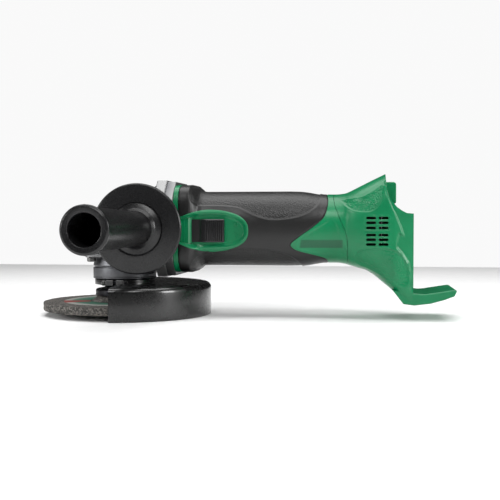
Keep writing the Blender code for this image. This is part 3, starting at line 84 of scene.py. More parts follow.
def colour_steps(tree, source, *steps):
    """A colour ramp fed by source, with (position, hex colour) steps."""
    ramp = node(tree, "ValToRGB", {}, {"Fac": source})
    elements = ramp.color_ramp.elements
    while len(elements) < len(steps):
        elements.new(0.5)
    for element, (position, code) in zip(elements, steps):
        element.position = position
        element.color = linear(code)
    return ramp.outputs["Color"]


def tinted(tree, shader, source, *steps):
    """Colours the surface by a ramp fed by source."""
    tree.links.new(colour_steps(tree, source, *steps), shader.inputs["Base Color"])


def noise(tree, places, grain, detail, rough=0.5):
    """A noise signal with features of about grain millimetres."""
    settings = {"Scale": 1 / (grain * mm), "Detail": detail, "Roughness": rough}
    return node(tree, "TexNoise", settings, {"Vector": places}).outputs["Fac"]


def roughened(tree, shader, source, low, high, start=0.0, end=1.0):
    """Roughness that goes from low to high as source goes from start to end."""
    settings = {"From Min": start, "From Max": end, "To Min": low, "To Max": high}
    spread = node(tree, "MapRange", settings, {"Value": source})
    tree.links.new(spread.outputs[0], shader.inputs["Roughness"])


def raised(tree, shader, height, strength, depth):
    """Bumps the surface by a height signal, depth in millimetres."""
    lift = node(tree, "Bump", {"Strength": strength, "Distance": depth * mm}, {"Height": height})
    tree.links.new(lift.outputs[0], shader.inputs["Normal"])


def bonded_grain():
    """Resin-bonded alumina: 0.9 mm grain, dull brown-grey with a few dark and a few glassy grains."""
    finish, tree, shader, places = new_finish("resin_bonded_alumina", {"Specular IOR Level": 0.35})
    grain = node(tree, "TexVoronoi", {"Scale": 1 / (0.9 * mm), "Randomness": 1.0}, {"Vector": places})
    shades = node(tree, "SeparateColor", {}, {"Color": grain.outputs["Color"]})
    mixed = node(tree, "Math", {"operation": "MULTIPLY_ADD", 1: 0.35},
                 {0: noise(tree, places, 6, 3.0), 2: shades.outputs["Red"]})
    tinted(tree, shader, mixed.outputs[0], (0.12, "#1c1c1b"), (0.45, "#383735"), (0.8, "#53504c"),
           (1.0, "#716d68"))
    roughened(tree, shader, shades.outputs["Green"], 0.6, 0.95)
    raised(tree, shader, grain.outputs["Distance"], 0.9, 0.35)
    return finish


def eased(outline):
    """A closed outline of (a, b, fillet radius) points with an arc put in at each fillet."""
    points = []
    for before, here, after in zip(outline[-1:] + outline[:-1], outline, outline[1:] + outline[:1]):
        corner = Vector(here[:2])
        if len(here) < 3 or not here[2]:
            points.append(corner)
            continue
        back, onward = Vector(before[:2]) - corner, Vector(after[:2]) - corner
        half = back.angle(onward) / 2
        reach = min(here[2] / math.tan(half), 0.48 * back.length, 0.48 * onward.length)
        back.normalize()
        onward.normalize()
        middle = corner + (back + onward).normalized() * reach / math.cos(half)
        start, end = corner + back * reach - middle, corner + onward * reach - middle
        first = math.atan2(start.y, start.x)
        sweep = (math.atan2(end.y, end.x) - first + math.pi) % (2 * math.pi) - math.pi
        for k in range(6):
            angle = first + sweep * k / 5
            points.append(middle + Vector((math.cos(angle), math.sin(angle))) * start.length)
    return points


def outward_mesh(name, bm):
    """Makes a mesh of a closed skin, with its faces turned outwards."""
    bmesh.ops.recalc_face_normals(bm, faces=bm.faces)
    mesh = bpy.data.meshes.new(name)
    bm.to_mesh(mesh)
    bm.free()
    return mesh


def turned_mesh(name, outline, steps=128, axis="Z", at=(0, 0, 0)):
    """A solid of revolution in millimetres: the outline is (radius, distance along the axis, fillet)."""
    turn = {"X": lambda x, y, z: (z, x, y), "Y": lambda x, y, z: (x, z, -y),
            "-Y": lambda x, y, z: (x, -z, y), "Z": lambda x, y, z: (x, y, z)}[axis]
    bm = bmesh.new()
    circle = [(math.cos(2 * math.pi * k / steps), math.sin(2 * math.pi * k / steps)) for k in range(steps)]
    rings = []
    for radius, height in eased(outline):
        if radius:
            rings.append([bm.verts.new((radius * c, radius * s, height)) for c, s in circle])
        else:
            rings.append([bm.verts.new((0, 0, height))] * steps)
    for one, two in zip(rings, rings[1:] + rings[:1]):
        for k in range(steps):
            j = (k + 1) % steps
            unique = list(dict.fromkeys((one[k], one[j], two[j], two[k])))
            if len(unique) > 2:
                bm.faces.new(unique)
    for vert in bm.verts:
        vert.co = (Vector(turn(*vert.co)) + Vector(at)) * mm
    return outward_mesh(name, bm)


def rod(name, radius, low, high, steps=128, axis="Z", at=(0, 0, 0)):
    """A plain cylinder from low to high along an axis."""
    return turned_mesh(name, [(0, high), (radius, high), (radius, low), (0, low)], steps, axis, at)


def piece(name, mesh, finish, body, slot, *stands_for, crease=38):
    """Shows a mesh as a piece that rides on a body and stands for the CAD nodes it replaces."""
    mesh.materials.clear()
    mesh.materials.append(finish)
    mesh.shade_smooth()
    mesh.set_sharp_from_angle(angle=math.radians(crease))
    made = bpy.data.objects.new(name, mesh)
    bpy.context.scene.collection.objects.link(made)
    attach(made, body)
    if stands_for:
        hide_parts(*stands_for)
    return made


wheel_outline = [(11.1, 13.1, 0.2), (20.6, 13.1, 1.5), (26.2, 8.7, 1.5)]
wheel_outline += [(26.2 + 1.2 * k, 8.7) for k in range(2, 30)]
wheel_outline += [(62.4, 8.7, 0.35), (62.5, 7.2), (62.35, 5.7), (62.5, 4.2), (62.4, 2.7, 0.35)]
wheel_outline += [(61.0 - 1.2 * k, 2.7) for k in range(0, 27)]
wheel_outline += [(27.0, 2.7, 1.5), (22.6, 7.1, 1.5), (11.1, 7.1, 0.2)]
wheel = turned_mesh("wheel", wheel_outline, steps=320)
side_start, rim_start, mid_plane = 27, 61.5, 5.7
grain_depth, rim_chipping = 0.12, 0.003
random = np.random.default_rng(7)
for vertex, chip in zip(wheel.vertices, random.uniform(-1, 0, len(wheel.vertices))):
    reach = math.hypot(vertex.co.x, vertex.co.y)
    if reach > rim_start * mm:
        vertex.co.x *= 1 + chip * rim_chipping
        vertex.co.y *= 1 + chip * rim_chipping
    if reach > side_start * mm:
        vertex.co.z += math.copysign(grain_depth, vertex.co.z - mid_plane * mm) * chip * mm
piece("wheel", wheel, bonded_grain(), "spindle_assembly", "abrasive", "grinding_wheel", crease=60)


def printed_paper():
    """Coated paper label: grey-green field, a dark inner ring and a red hazard segment, slightly wrinkled."""
    finish, tree, shader, places = new_finish("printed_paper", {"Roughness": 0.55})
    split = node(tree, "SeparateXYZ", {}, {"Vector": places}).outputs
    flat = node(tree, "CombineXYZ", {}, {"X": split["X"], "Y": split["Y"]})
    reach = node(tree, "VectorMath", {"operation": "LENGTH"}, {0: flat.outputs[0]})
    across = node(tree, "MapRange", {"From Min": 15 * mm, "From Max": 47 * mm},
                  {"Value": reach.outputs["Value"]})
    bands = colour_steps(tree, across.outputs[0], (0.0, "#8d8f8a"), (0.34, "#20493a"), (0.36, "#2d6a53"),
                         (0.80, "#557a6b"), (0.84, "#a3a59f"))
    turn = node(tree, "Math", {"operation": "ARCTAN2"}, {0: split["Y"], 1: split["X"]})
    arc = node(tree, "Math", {"operation": "COMPARE", 1: -2.72, 2: 0.20}, {0: turn.outputs[0]})
    field = node(tree, "Mix", {"data_type": "RGBA", 7: linear("#8e4440")}, {0: arc.outputs[0], 6: bands})
    speck = node(tree, "TexNoise", {"Scale": 1 / (0.8 * mm), "Detail": 2.0}, {"Vector": places})
    worn = node(tree, "Mix", {"data_type": "RGBA", "blend_type": "MULTIPLY", 0: 0.5},
                {6: field.outputs[2], 7: speck.outputs["Color"]})
    tree.links.new(worn.outputs[2], shader.inputs["Base Color"])
    raised(tree, shader, speck.outputs["Fac"], 0.4, 0.1)
    return finish


label = turned_mesh("wheel_label", [(26.9, 8.86), (47, 8.86, 0.05), (47, 8.6),
                                    (26.9, 8.6)], steps=160)
piece("wheel_label", label, printed_paper(), "spindle_assembly", "abrasive")


# ---------------------------------------------------------------- spindle, clamping flange and nut
# Turned steel. The spindle is case-hardened and ground with a cut M14 thread; the flange and the two-hole nut
# are blackened in hot oil, which leaves a thin dark skin that wears bright on edges.
def turned_steel(name, colour, roughness):
    """Steel from the lathe: fine turning marks 0.25 mm apart."""
    finish, tree, shader, places = new_finish(name, {"Base Color": linear(colour), "Metallic": 1.0,
                                                     "Anisotropic": 0.4})
    marks = noise(tree, places, 0.25, 2.0)
    roughened(tree, shader, marks, roughness - 0.08, roughness + 0.1)
    raised(tree, shader, marks, 0.15, 0.03)
    return finish


def edge_worn(tree, shader, tone, bare, start, end, most=1.0):
    """Colours the surface by tone, with the bare metal's colour where outer edges are worn."""
    edge = node(tree, "NewGeometry").outputs["Pointiness"]
    worn = node(tree, "MapRange", {"From Min": start, "From Max": end, "To Max": most}, {"Value": edge})
    colour = node(tree, "Mix", {"data_type": "RGBA", 7: linear(bare)}, {0: worn.outputs[0], 6: tone})
    tree.links.new(colour.outputs[2], shader.inputs["Base Color"])


bright_steel = turned_steel("ground_steel", "#9a9a98", 0.3)


def oil_blackened_steel():
    """Blackened steel: dark grey metal, edges worn to bare steel."""
    finish, tree, shader, places = new_finish("oil_blackened_steel", {"Metallic": 1.0})
    patch = noise(tree, places, 4, 4.0)
    tone = colour_steps(tree, patch, (0.35, "#26262a"), (0.65, "#3a3a3c"))
    edge_worn(tree, shader, tone, "#7c7c7a", 0.52, 0.6)
    roughened(tree, shader, patch, 0.32, 0.5)
    return finish


black_oxide = oil_blackened_steel()
thread_root, thread_crest, thread_pitch, shoulder = 5.7, 6.7, 2.0, 21.5
thread = [(5.9, 0.0), (thread_crest, 0.9)]
for k in range(10):
    start = 1.3 + thread_pitch * k
    thread += [(thread_crest, start), (thread_root, start + 0.7), (thread_crest, start + 1.4)]
spindle_outline = [(0, 0), *thread, (thread_crest, shoulder), (7.5, shoulder), (7.5, 45.2), (9.0, 45.2, 0.4),
                   (9.0, 51.2), (6.2, 51.2), (6.2, 67.0, 0.3), (3.5, 67.0), (3.5, 74.6, 0.5), (0, 74.6)]
shaft = turned_mesh("spindle_shaft", spindle_outline[::-1], 96)
piece("spindle_shaft", shaft, bright_steel, "spindle_assembly", "steel", "spindle")
flange_outline = [(7.0, 21.2, 0.3), (14.6, 21.2, 0.8), (16.2, 19.4, 0.8), (22.0, 18.2, 0.8),
                  (22.7, 17.2, 0.5), (22.7, 13.4, 0.4), (10.8, 13.4), (10.8, 8.1, 0.3),
                  (7.0, 8.1, 0.3)]
piece("clamping_flange", turned_mesh("clamping_flange", flange_outline), black_oxide, "spindle_assembly",
      "black_steel", "inner_flange")


def shaped(mesh, *steps):
    """Cuts, joins or trims a mesh with others by exact solid arithmetic; the tools are used up."""
    body = bpy.data.objects.new(mesh.name, mesh)
    bpy.context.scene.collection.objects.link(body)
    tools = []
    for operation, tool_mesh in steps:
        tool = bpy.data.objects.new(tool_mesh.name + "_tool", tool_mesh)
        bpy.context.scene.collection.objects.link(tool)
        change = body.modifiers.new(tool.name, "BOOLEAN")
        change.operation = operation
        change.object = tool
        change.solver = "MANIFOLD"
        tools.append(tool)
    bpy.context.view_layer.update()
    result = bpy.data.meshes.new_from_object(body.evaluated_get(bpy.context.evaluated_depsgraph_get()))
    result.name = mesh.name
    for used in [body, *tools]:
        bpy.data.objects.remove(used)
    return result


nut = turned_mesh("clamp_nut", [
    (7.0, 6.8, 0.3), (18.7, 6.8, 0.6), (19.5, 6.0, 0.4), (19.5, 2.2, 0.8), (16.8, 0.8, 0.6), (10.5, 0.8, 0.4),
    (9.8, 1.6, 0.4), (7.0, 1.6, 0.3)])
pin_reach = 14.5
pin_holes = [rod(f"nut_hole_{k}", 2.5, 0.2, 4.2, 32, at=(x, 0, 0)) for k, x in enumerate((pin_reach, -pin_reach))]
nut = shaped(nut, *(("DIFFERENCE", hole) for hole in pin_holes))
piece("two_hole_nut", nut, black_oxide, "spindle_assembly", "black_steel", "clamp_nut")


# ---------------------------------------------------------------- bearing cover and gear case
# Two aluminium die castings, shot-blasted and coated in dark grey. The cover closes the gear case from below
# and carries the lower bearing; four socket screws hold it, and four more hold the case to the motor housing.
def coated_casting():
    """Dark coating over blasted aluminium: fine 0.7 mm blasting dimples and a soft metallic gloss."""
    finish, tree, shader, places = new_finish("coated_die_cast_aluminium", {"Metallic": 0.75})
    blast = noise(tree, places, 0.7, 2.0)
    tone = colour_steps(tree, noise(tree, places, 14, 3.0), (0.3, "#56575a"), (0.7, "#6d6e70"))
    edge_worn(tree, shader, tone, "#a9a9a8", 0.53, 0.62, 0.6)
    roughened(tree, shader, blast, 0.34, 0.5)
    raised(tree, shader, blast, 0.35, 0.12)
    return finish


def lofted_mesh(name, rings):
    """A skin over rings of points with equal counts, in millimetres, capped at both ends."""
    bm = bmesh.new()
    rows = [[bm.verts.new(Vector(point) * mm) for point in ring] for ring in rings]
    for one, two in zip(rows, rows[1:]):
        for k in range(len(one)):
            j = (k + 1) % len(one)
            bm.faces.new((one[k], one[j], two[j], two[k]))
    bm.faces.new(rows[0])
    bm.faces.new(rows[-1])
    return outward_mesh(name, bm)


def prism_mesh(name, outline, low, high, axis="Z", edge=0.0):
    """An outline of (x, y), or (y, z) along X, or (x, z) along Y, extruded with its rims chamfered by edge."""
    place = {"X": lambda a, b, h: (h, a, b), "Y": lambda a, b, h: (a, h, b), "Z": lambda a, b, h: (a, b, h)}[axis]
    points = [Vector(p[:2]) for p in outline]
    middle = sum(points, Vector((0, 0))) / len(points)
    layers = [(low, edge), (low + edge, 0), (high - edge, 0), (high, edge)] if edge else [(low, 0), (high, 0)]
    rings = []
    for height, inset in layers:
        ring = []
        for before, here, after in zip(points[-1:] + points[:-1], points, points[1:] + points[:1]):
            along = ((here - before).normalized() + (after - here).normalized()).normalized()
            inward = Vector((-along.y, along.x))
            if inward.dot(middle - here) < 0:
                inward = -inward
            ring.append(place(*(here + inward * inset), height))
        rings.append(ring)
    return lofted_mesh(name, rings)


def brick(name, across, along, low, high, axis="Z", edge=0.0):
    """A rectangular block between two values each way, placed like a prism."""
    (a, b), (c, d) = across, along
    return prism_mesh(name, [(a, c), (b, c), (b, d), (a, d)], low, high, axis, edge)


def square_outline(half, corner):
    """A square with rounded corners."""
    return eased([(half, half, corner), (-half, half, corner), (-half, -half, corner), (half, -half, corner)])


casting = coated_casting()
axis_z = 65
cover_screw_reach = 20.5
cover_outline = [(16.3, 49.5), (21.2, 49.5, 0.4), (21.2, 45.0), (23.0, 45.0), (23.0, 43.0, 0.8),
                 (24.3, 37.0, 1.2), (24.3, 36.4, 0.3), (23.2, 36.0, 0.3), (23.2, 35.3, 0.3),
                 (24.5, 34.9, 0.4), (24.5, 28.2, 0.3), (24.1, 27.9, 0.2), (24.5, 27.6, 0.2),
                 (24.5, 26.8, 0.5), (23.6, 26.4, 0.4), (20.5, 26.4, 0.5), (20.5, 21.5, 0.4),
                 (11.5, 21.5, 0.4), (11.5, 33.9), (16.3, 33.9)]
cover = turned_mesh("bearing_cover", cover_outline)
cover_plate = prism_mesh("cover_plate", square_outline(25.3, 5.5), 43.1, 46.0, edge=0.4)
cover_bore = rod("cover_bore", 17, 40, 50)
cover_plate = shaped(cover_plate, ("DIFFERENCE", cover_bore))
corners = [(1, 1), (-1, 1), (-1, -1), (1, -1)]
cover_holes = [rod(f"cover_hole_{k}", 2.2, 41, 48, 32, at=(cover_screw_reach * a, cover_screw_reach * b, 0))
               for k, (a, b) in enumerate(corners)]
cover = shaped(cover, ("UNION", cover_plate), *(("DIFFERENCE", hole) for hole in cover_holes))
piece("bearing_cover_casting", cover, casting, "frame", "cast_aluminium", "bearing_cover")


def oval(x, half_width, top, bottom, power, count=96):
    """A squarish oval section at x; top and bottom are heights from the motor's axis, all in millimetres."""
    middle, half = (top + bottom) / 2, (top - bottom) / 2
    ring = []
    for k in range(count):
        angle = 2 * math.pi * k / count
        c, s = math.cos(angle), math.sin(angle)
        reach = (abs(c / half_width) ** power + abs(s / half) ** power) ** (-1 / power)
        ring.append((x, reach * c, axis_z + (middle + reach * s)))
    return ring


def fused(name, meshes, grain, passes):
    """Overlapping solids run together as one casting, with the sharp meetings softened to fillets."""
    bm = bmesh.new()
    for mesh in meshes:
        bm.from_mesh(mesh)
    joined = bpy.data.meshes.new(name)
    bm.to_mesh(joined)
    bm.free()
    body = bpy.data.objects.new(name, joined)
    bpy.context.scene.collection.objects.link(body)
    remesh = body.modifiers.new("run_together", "REMESH")
    remesh.mode = "VOXEL"
    remesh.voxel_size = grain * mm
    smooth = body.modifiers.new("fillets", "SMOOTH")
    smooth.factor = 0.5
    smooth.iterations = passes
    bpy.context.view_layer.update()
    result = bpy.data.meshes.new_from_object(body.evaluated_get(bpy.context.evaluated_depsgraph_get()))
    result.name = name
    bpy.data.objects.remove(body)
    return result


boss_x, lock_x = 22.8, -10.2
case_screw_y, case_screw_z = 25, 26.5
nose_outline = [(0, 87), (10, 87, 4), (15, 84, 6), (20, 76, 8), (23, 65.8, 8), (25, 54.8, 5),
                (25, 48.3), (0, 48.3)]
nose = turned_mesh("nose", nose_outline)
neck = lofted_mesh("neck", [oval(-4, 22, 24, -16.7, 3), oval(10, 25.5, 26.5, -17, 3),
                            oval(20, 29.5, 29, -17.8, 3.2), oval(26.5, 31.8, 31.8, -24, 3.6),
                            oval(32.5, 34, 34.5, -34, 4)])
bosses = rod("bosses", 10.8, -37.3, 37.3,
                     axis="Y", at=(boss_x, 0, axis_z))
lock_tower = rod("lock_tower", 8.1, 60, 84.2,
                         at=(lock_x, 0, 0))
case = fused("gear_case", [nose, neck, bosses, lock_tower], 0.7, 8)


def eight_sided(half, corner, low, high):
    """A square plate with its corners cut off, across the motor's axis."""
    places = [(half, -corner), (half, corner), (corner, half), (-corner, half), (-half, corner), (-half, -corner),
              (-corner, -half), (corner, -half)]
    return prism_mesh("case_flange", [(y, axis_z + z) for y, z in places], low, high, "X",
                      0.5)


flange = eight_sided(36.2, 21.7, 31.5, 39.2)
skirt_hollow = rod("skirt_hollow", 31, 39.2, 47, 128, "X", (0, 0, axis_z))
skirt = shaped(eight_sided(35.2, 20.6, 38.5, 45.7), ("DIFFERENCE", skirt_hollow))
base = prism_mesh("case_base", square_outline(25.3, 5.5), 46.3, 54.3, edge=0.4)
spigot = turned_mesh("case_cavity", [
    (0, 74.9), (6.3, 74.9), (6.3, 67), (11.5, 67), (19.6, 62.8), (19.6, 49.8), (21.5, 49.8), (21.5, 40), (0, 40)])
throat = turned_mesh("case_throat", [(0, 40), (13.3, 40), (13.3, 28), (9.2, 28),
                                     (9.2, 9.5), (0, 9.5)], 64, "X", (0, 0, axis_z))
boss_hole = turned_mesh("boss_hole", [(0, 40), (5.2, 40), (5.2, 37.4), (4.3, 36.3),
                                      (4.3, 23.3), (0, 23.3)], 48, "Y", (boss_x, 0, axis_z))
stud_hole = rod("stud_hole", 4.3, 23.3, 40, 48,
                        "-Y", (boss_x, 0, axis_z))
lock_pocket = turned_mesh("lock_pocket", [(0, 95), (7.4, 95), (7.4, 84.5),
                                          (6.5, 83.4), (6.5, 75.2), (2.5, 75.2),
                                          (2.5, 58), (0, 58)], 64, at=(lock_x, 0, 0))
below = brick("below_case", (-40, 25.6), (-50, 50), 20, 46.3)
screw_pockets = []
for k, (a, b) in enumerate(corners):
    at = (0, case_screw_y * a, axis_z + case_screw_z * b)
    screw_pockets.append(turned_mesh(f"screw_pocket_{k}", [
        (0, 47), (2.3, 47), (2.3, 32), (4.4, 32), (4.4, 20),
        (0, 20)], 48, "X", at))
    screw_pockets.append(rod(f"cover_screw_hole_{k}", 2.2, 44, 52.6, 32,
        at=(cover_screw_reach * a, cover_screw_reach * b, 0)))
cuts = [spigot, throat, boss_hole, stud_hole, lock_pocket, *screw_pockets]
case = shaped(case, ("DIFFERENCE", below), *(("UNION", added) for added in (flange, skirt, base)),
              *(("DIFFERENCE", cut) for cut in cuts))
piece("gear_case_casting", case, casting, "frame", "cast_aluminium", "gear_case", crease=32)


def socket_screw(name, head_radius, head_height, shank_radius, length, key, axis, at):
    """A cylinder-head screw with a hexagon socket; at is the underside of the head, the axis the shank's way."""
    socket = []
    for k in range(48):
        angle = 2 * math.pi * k / 48
        off = (angle + math.pi / 6) % (math.pi / 3) - math.pi / 6
        socket.append((key / math.cos(off) * math.cos(angle), key / math.cos(off) * math.sin(angle)))
    circle = [(math.cos(2 * math.pi * k / 48), math.sin(2 * math.pi * k / 48)) for k in range(48)]
    levels = [(0.01 * shank_radius, length), (shank_radius * 0.8, length), (shank_radius, length - 0.5),
              (shank_radius, 0), (head_radius - 0.2, 0), (head_radius, -0.2),
              (head_radius, -head_height + 0.5), (head_radius - 0.5, -head_height)]
    rings = [[(r * c, r * s, h) for c, s in circle] for r, h in levels]
    rings += [[(x, y, h) for x, y in socket] for h in (-head_height, -head_height * 0.35)]
    turn = {"X": lambda p: (p[2], p[0], p[1]), "Z": lambda p: p, "-Y": lambda p: (p[0], -p[2], p[1])}[axis]
    return lofted_mesh(name, [[Vector(turn(p)) + Vector(at) for p in ring] for ring in rings])


for k, (a, b) in enumerate(corners):
    case_screw = socket_screw(f"case_screw_{k + 1}", 3.8, 5.2, 2.0, 19.1, 2.1, "X",
                              (31.7, case_screw_y * a, axis_z + case_screw_z * b))
    piece(f"case_socket_screw_{k + 1}", case_screw, black_oxide, "frame", "black_steel",
          f"gear_case_screw_{k + 1}")
    cover_screw = socket_screw(f"cover_screw_{k + 1}", 3.3, 3.0, 1.9, 9.2, 1.6, "Z",
                               (cover_screw_reach * a, cover_screw_reach * b, 42.8))
    piece(f"cover_socket_screw_{k + 1}", cover_screw, black_oxide, "frame", "black_steel",
          f"cover_screw_{k + 1}")


# ---------------------------------------------------------------- spindle lock
# A black moulded button in a pocket of the gear case, over a steel pin and a coil spring. Pressed, it pushes
# the pin into a hole of the ring gear; ribs on its face give the thumb grip.
def glass_filled_nylon(name, dark, light, roughness, grain=0.45):
    """Moulded glass-filled nylon: satin, with the fine spark-eroded grain of its tool in millimetres."""
    finish, tree, shader, places = new_finish(name, {"IOR": 1.53, "Specular IOR Level": 0.42})
    spark = noise(tree, places, grain, 3.0, 0.6)
    tinted(tree, shader, noise(tree, places, 22, 3.0), (0.3, dark), (0.7, light))
    roughened(tree, shader, spark, roughness - 0.07, roughness + 0.1)
    raised(tree, shader, spark, 0.22, 0.08)
    return finish


black_nylon = glass_filled_nylon("black_glass_filled_nylon", "#131314", "#1b1b1c", 0.32)
button = turned_mesh("lock_button", [
    (0, 88.0), (4.2, 88.0, 0.5), (4.7, 88.4, 0.3), (6.2, 88.4, 0.7), (6.2, 79.9, 0.3), (4.6, 79.9), (4.6, 86.2),
    (0, 86.2)], 96, at=(lock_x, 0, 0))
rib_spacing, rib_half = 1.5, 0.35
ribs = [brick(f"button_rib_{k}", (lock_x + rib_spacing * k - rib_half, lock_x + rib_spacing * k + rib_half),
              (-3.2, 3.2), 87.5, 88.35) for k in (-1, 0, 1)]
button = shaped(button, *(("UNION", rib) for rib in ribs))
piece("lock_button_cap", button, black_nylon, "lock", "black_nylon", "lock_button")
coil, wire, foot_z, head_z, turns = 3.7, 0.36, 75.5, 85.8, 5.5
coil_steps, wire_steps = 40, 12
rings = []
for k in range(int(turns * coil_steps) + 1):
    along = k / coil_steps * 2 * math.pi
    height = foot_z + wire + (head_z - foot_z - 2 * wire) * k / (turns * coil_steps)
    ring = []
    for j in range(wire_steps):
        angle = 2 * math.pi * j / wire_steps
        reach = coil + wire * math.cos(angle)
        ring.append((lock_x + reach * math.cos(along), reach * math.sin(along), height + wire * math.sin(angle)))
    rings.append(ring)
spring = bpy.data.objects.new("lock_return_spring", lofted_mesh("lock_return_spring", rings))
spring.data.materials.append(bright_steel)
spring.data.shade_smooth()
bpy.context.scene.collection.objects.link(spring)
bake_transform(spring)
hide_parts("lock_spring")


# ---------------------------------------------------------------- wheel guard
# Deep-drawn 1.8 mm steel with a rolled lower rim, open over the front half of the wheel, in black stove enamel.
# A split collar is spot-welded on top and clamped round the bearing cover's neck by one screw.
def stove_enamel():
    """Black stove enamel: glossy, with a slow orange-peel ripple and light handling scuffs."""
    finish, tree, shader, places = new_finish("black_stove_enamel", {
        "Base Color": linear("#0b0b0b"), "IOR": 1.52, "Coat Weight": 0.5, "Coat Roughness": 0.12})
    roughened(tree, shader, noise(tree, places, 11, 5.0, 0.7), 0.26, 0.32, 0.4, 0.75)
    raised(tree, shader, noise(tree, places, 3.5, 1.0), 0.05, 0.1)
    return finish


enamel = stove_enamel()
guard_front = 6.5
guard_section = eased([
    (21.4, 23.7), (52, 23.7, 6), (54, 23.3, 6), (67.5, 23.3, 4.4), (67.5, 1.2, 0.8), (67.2, -1.2, 0.5),
    (66.6, -1.5, 0.3), (64.7, -1.5, 0.4), (64.7, -0.2, 0.4), (65.7, 0.6, 0.4), (65.7, 21.5, 2.8), (54, 21.5, 6),
    (52, 21.9, 6), (21.4, 21.9)])
guard_steps = 200
slices = []
for k in range(guard_steps + 1):
    share = 2 * k / guard_steps - 1
    angles = [math.acos(guard_front / radius) * share for radius, height in guard_section]
    slices.append([(radius * math.cos(angle), radius * math.sin(angle), height)
                   for (radius, height), angle in zip(guard_section, angles)])
guard = lofted_mesh("guard_shell", slices)
piece("guard_shell", guard, enamel, "guard", "black_steel", "wheel_guard")
collar = turned_mesh("guard_collar", [
    (20.8, 26.1, 0.2), (23.2, 26.1, 0.5), (23.2, 22.0), (20.8, 22.0)])
ears = prism_mesh("collar_ears", eased([
    (-7.5, -21.8), (7.5, -21.8), (7.5, -29.4, 1.2), (-7.5, -29.4, 1.2)]), 22.0, 26.1, edge=0.3)
split = brick("collar_split", (-1.2, 1.2), (-31, -18), 20, 30)
ear_hole = rod("ear_hole", 1.8, -9, 9, 32, "X",
                       (0, -26.2, 24))
collar = shaped(collar, ("UNION", ears), ("DIFFERENCE", split), ("DIFFERENCE", ear_hole))
piece("guard_collar", collar, enamel, "guard", "black_steel")
clamp_screw = socket_screw("guard_screw", 2.2, 2.7, 1.5, 17.3, 1.2, "X",
                           (-7.8, -26.2, 24.0))
piece("guard_socket_screw", clamp_screw, black_oxide, "guard", "black_steel", "guard_clamp_screw")


# ---------------------------------------------------------------- side handle
# One hollow moulding of black nylon with a hand flange, screwed into the gear case by a steel stud. The mould's
# parting line runs along it, and the flange has a dished face round the grip.
handle_outline = [(10.3, 129.7, 0.5), (13.8, 130.0, 0.8), (15.2, 129.0, 1.0), (15.2, 126.2, 0.8),
                  (14.1, 123.6, 1.5), (13.7, 110, 8), (13.0, 65, 20), (12.1, 24, 8), (12.4, 19, 3),
                  (14.6, 16.2, 2.5), (18.6, 14.0, 0.8), (19.6, 15.1, 0.5), (22, 14.9, 2),
                  (32.0, 14.0, 0.8), (33, 13.2, 0.6), (33, 11.8, 0.6), (32.0, 11.0, 0.8),
                  (18, 10.0, 4), (13, 9.0, 3), (10.2, 6.6, 1.5), (9.8, 0.3, 0.4), (4.3, 0.3),
                  (4.3, 24.4), (10.3, 24.4, 1.0)]
handle = turned_mesh("side_handle", handle_outline, 160, "-Y",
                     (boss_x, -37.3, axis_z))
flash_height, flash_half, flash_end, hollow_radius = 0.12, 0.5, -56, 11.3
for vertex in handle.vertices:
    off = vertex.co - Vector((boss_x * mm, vertex.co.y, axis_z * mm))
    on_line = abs(off.x) < flash_half * mm and vertex.co.y < flash_end * mm
    if on_line and off.length > hollow_radius * mm:
        vertex.co += off.normalized() * flash_height * mm
handle_nylon = glass_filled_nylon("black_nylon_handle", "#101011", "#181819", 0.27, 0.6)
piece("side_handle", handle, handle_nylon, "frame", "black_nylon", "side_handle_grip")


# ---------------------------------------------------------------- motor housing
# Two halves moulded in green glass-filled nylon and screwed together on the centre line. Only a ring at the
# front, the switch surround and a wedge at the rear stay bare; the rest is under the soft grip.
sections = np.array([   # x, half width, top and bottom from the motor's axis, squareness
    (36, 33, 33, -33, 5), (57, 33, 33, -33, 5), (60, 31.6, 31.6, -31.6, 4), (63.5, 29.3, 29.3, -29.3, 2.8),
    (67, 28.8, 28.8, -28.8, 2.4), (75, 28.8, 28.8, -28.8, 2.3), (128, 28.8, 28.8, -28.8, 2.3),
    (137, 28.6, 28.6, -28.6, 2.3), (144, 27.9, 27.9, -27.9, 2.3), (150, 26.8, 26.8, -26.8, 2.3),
    (156.2, 25.9, 25.9, -25.9, 2.3), (164.7, 25.8, 25.8, -25.8, 2.3), (171.5, 26.4, 26.5, -26.5, 2.4),
    (174.5, 27.4, 27.6, -27.4, 2.5), (180.6, 29.4, 30.6, -29.1, 2.7), (186.6, 30.9, 33.6, -30.8, 2.9),
    (192.5, 31.9, 36.5, -34.1, 3.1), (198.5, 32.5, 39.3, -38.9, 3.5), (204.5, 33, 42.1, -43.7, 4.2),
    (207.4, 33, 43.4, -46.3, 4.8), (208.4, 32.8, 43.8, -47.3, 5), (213.4, 31.3, 46, -52.3, 6.5),
    (216.4, 30.4, 47.3, -54.2, 7.5), (221, 29.0, 49.3, -55.2, 8), (227, 27.2, 51.8, -55.3, 8)])


def through(knots, values, places):
    """A smooth curve through the knots that never overshoots them."""
    step, slope = np.diff(knots), np.diff(values) / np.diff(knots)
    tangent = np.zeros(len(knots))
    level = slope[:-1] * slope[1:] > 0
    tangent[1:-1][level] = 2 * slope[:-1][level] * slope[1:][level] / (slope[:-1] + slope[1:])[level]
    k = np.clip(np.searchsorted(knots, places) - 1, 0, len(knots) - 2)
    t = (places - knots[k]) / step[k]
    return ((1 + 2 * t) * (1 - t) ** 2 * values[k] + t * (1 - t) ** 2 * step[k] * tangent[k]
            + t * t * (3 - 2 * t) * values[k + 1] + t * t * (t - 1) * step[k] * tangent[k + 1])


def section_at(x):
    """Half width, top, bottom and squareness of the housing at x."""
    return [through(sections[:, 0], sections[:, k], x) for k in (1, 2, 3, 4)]


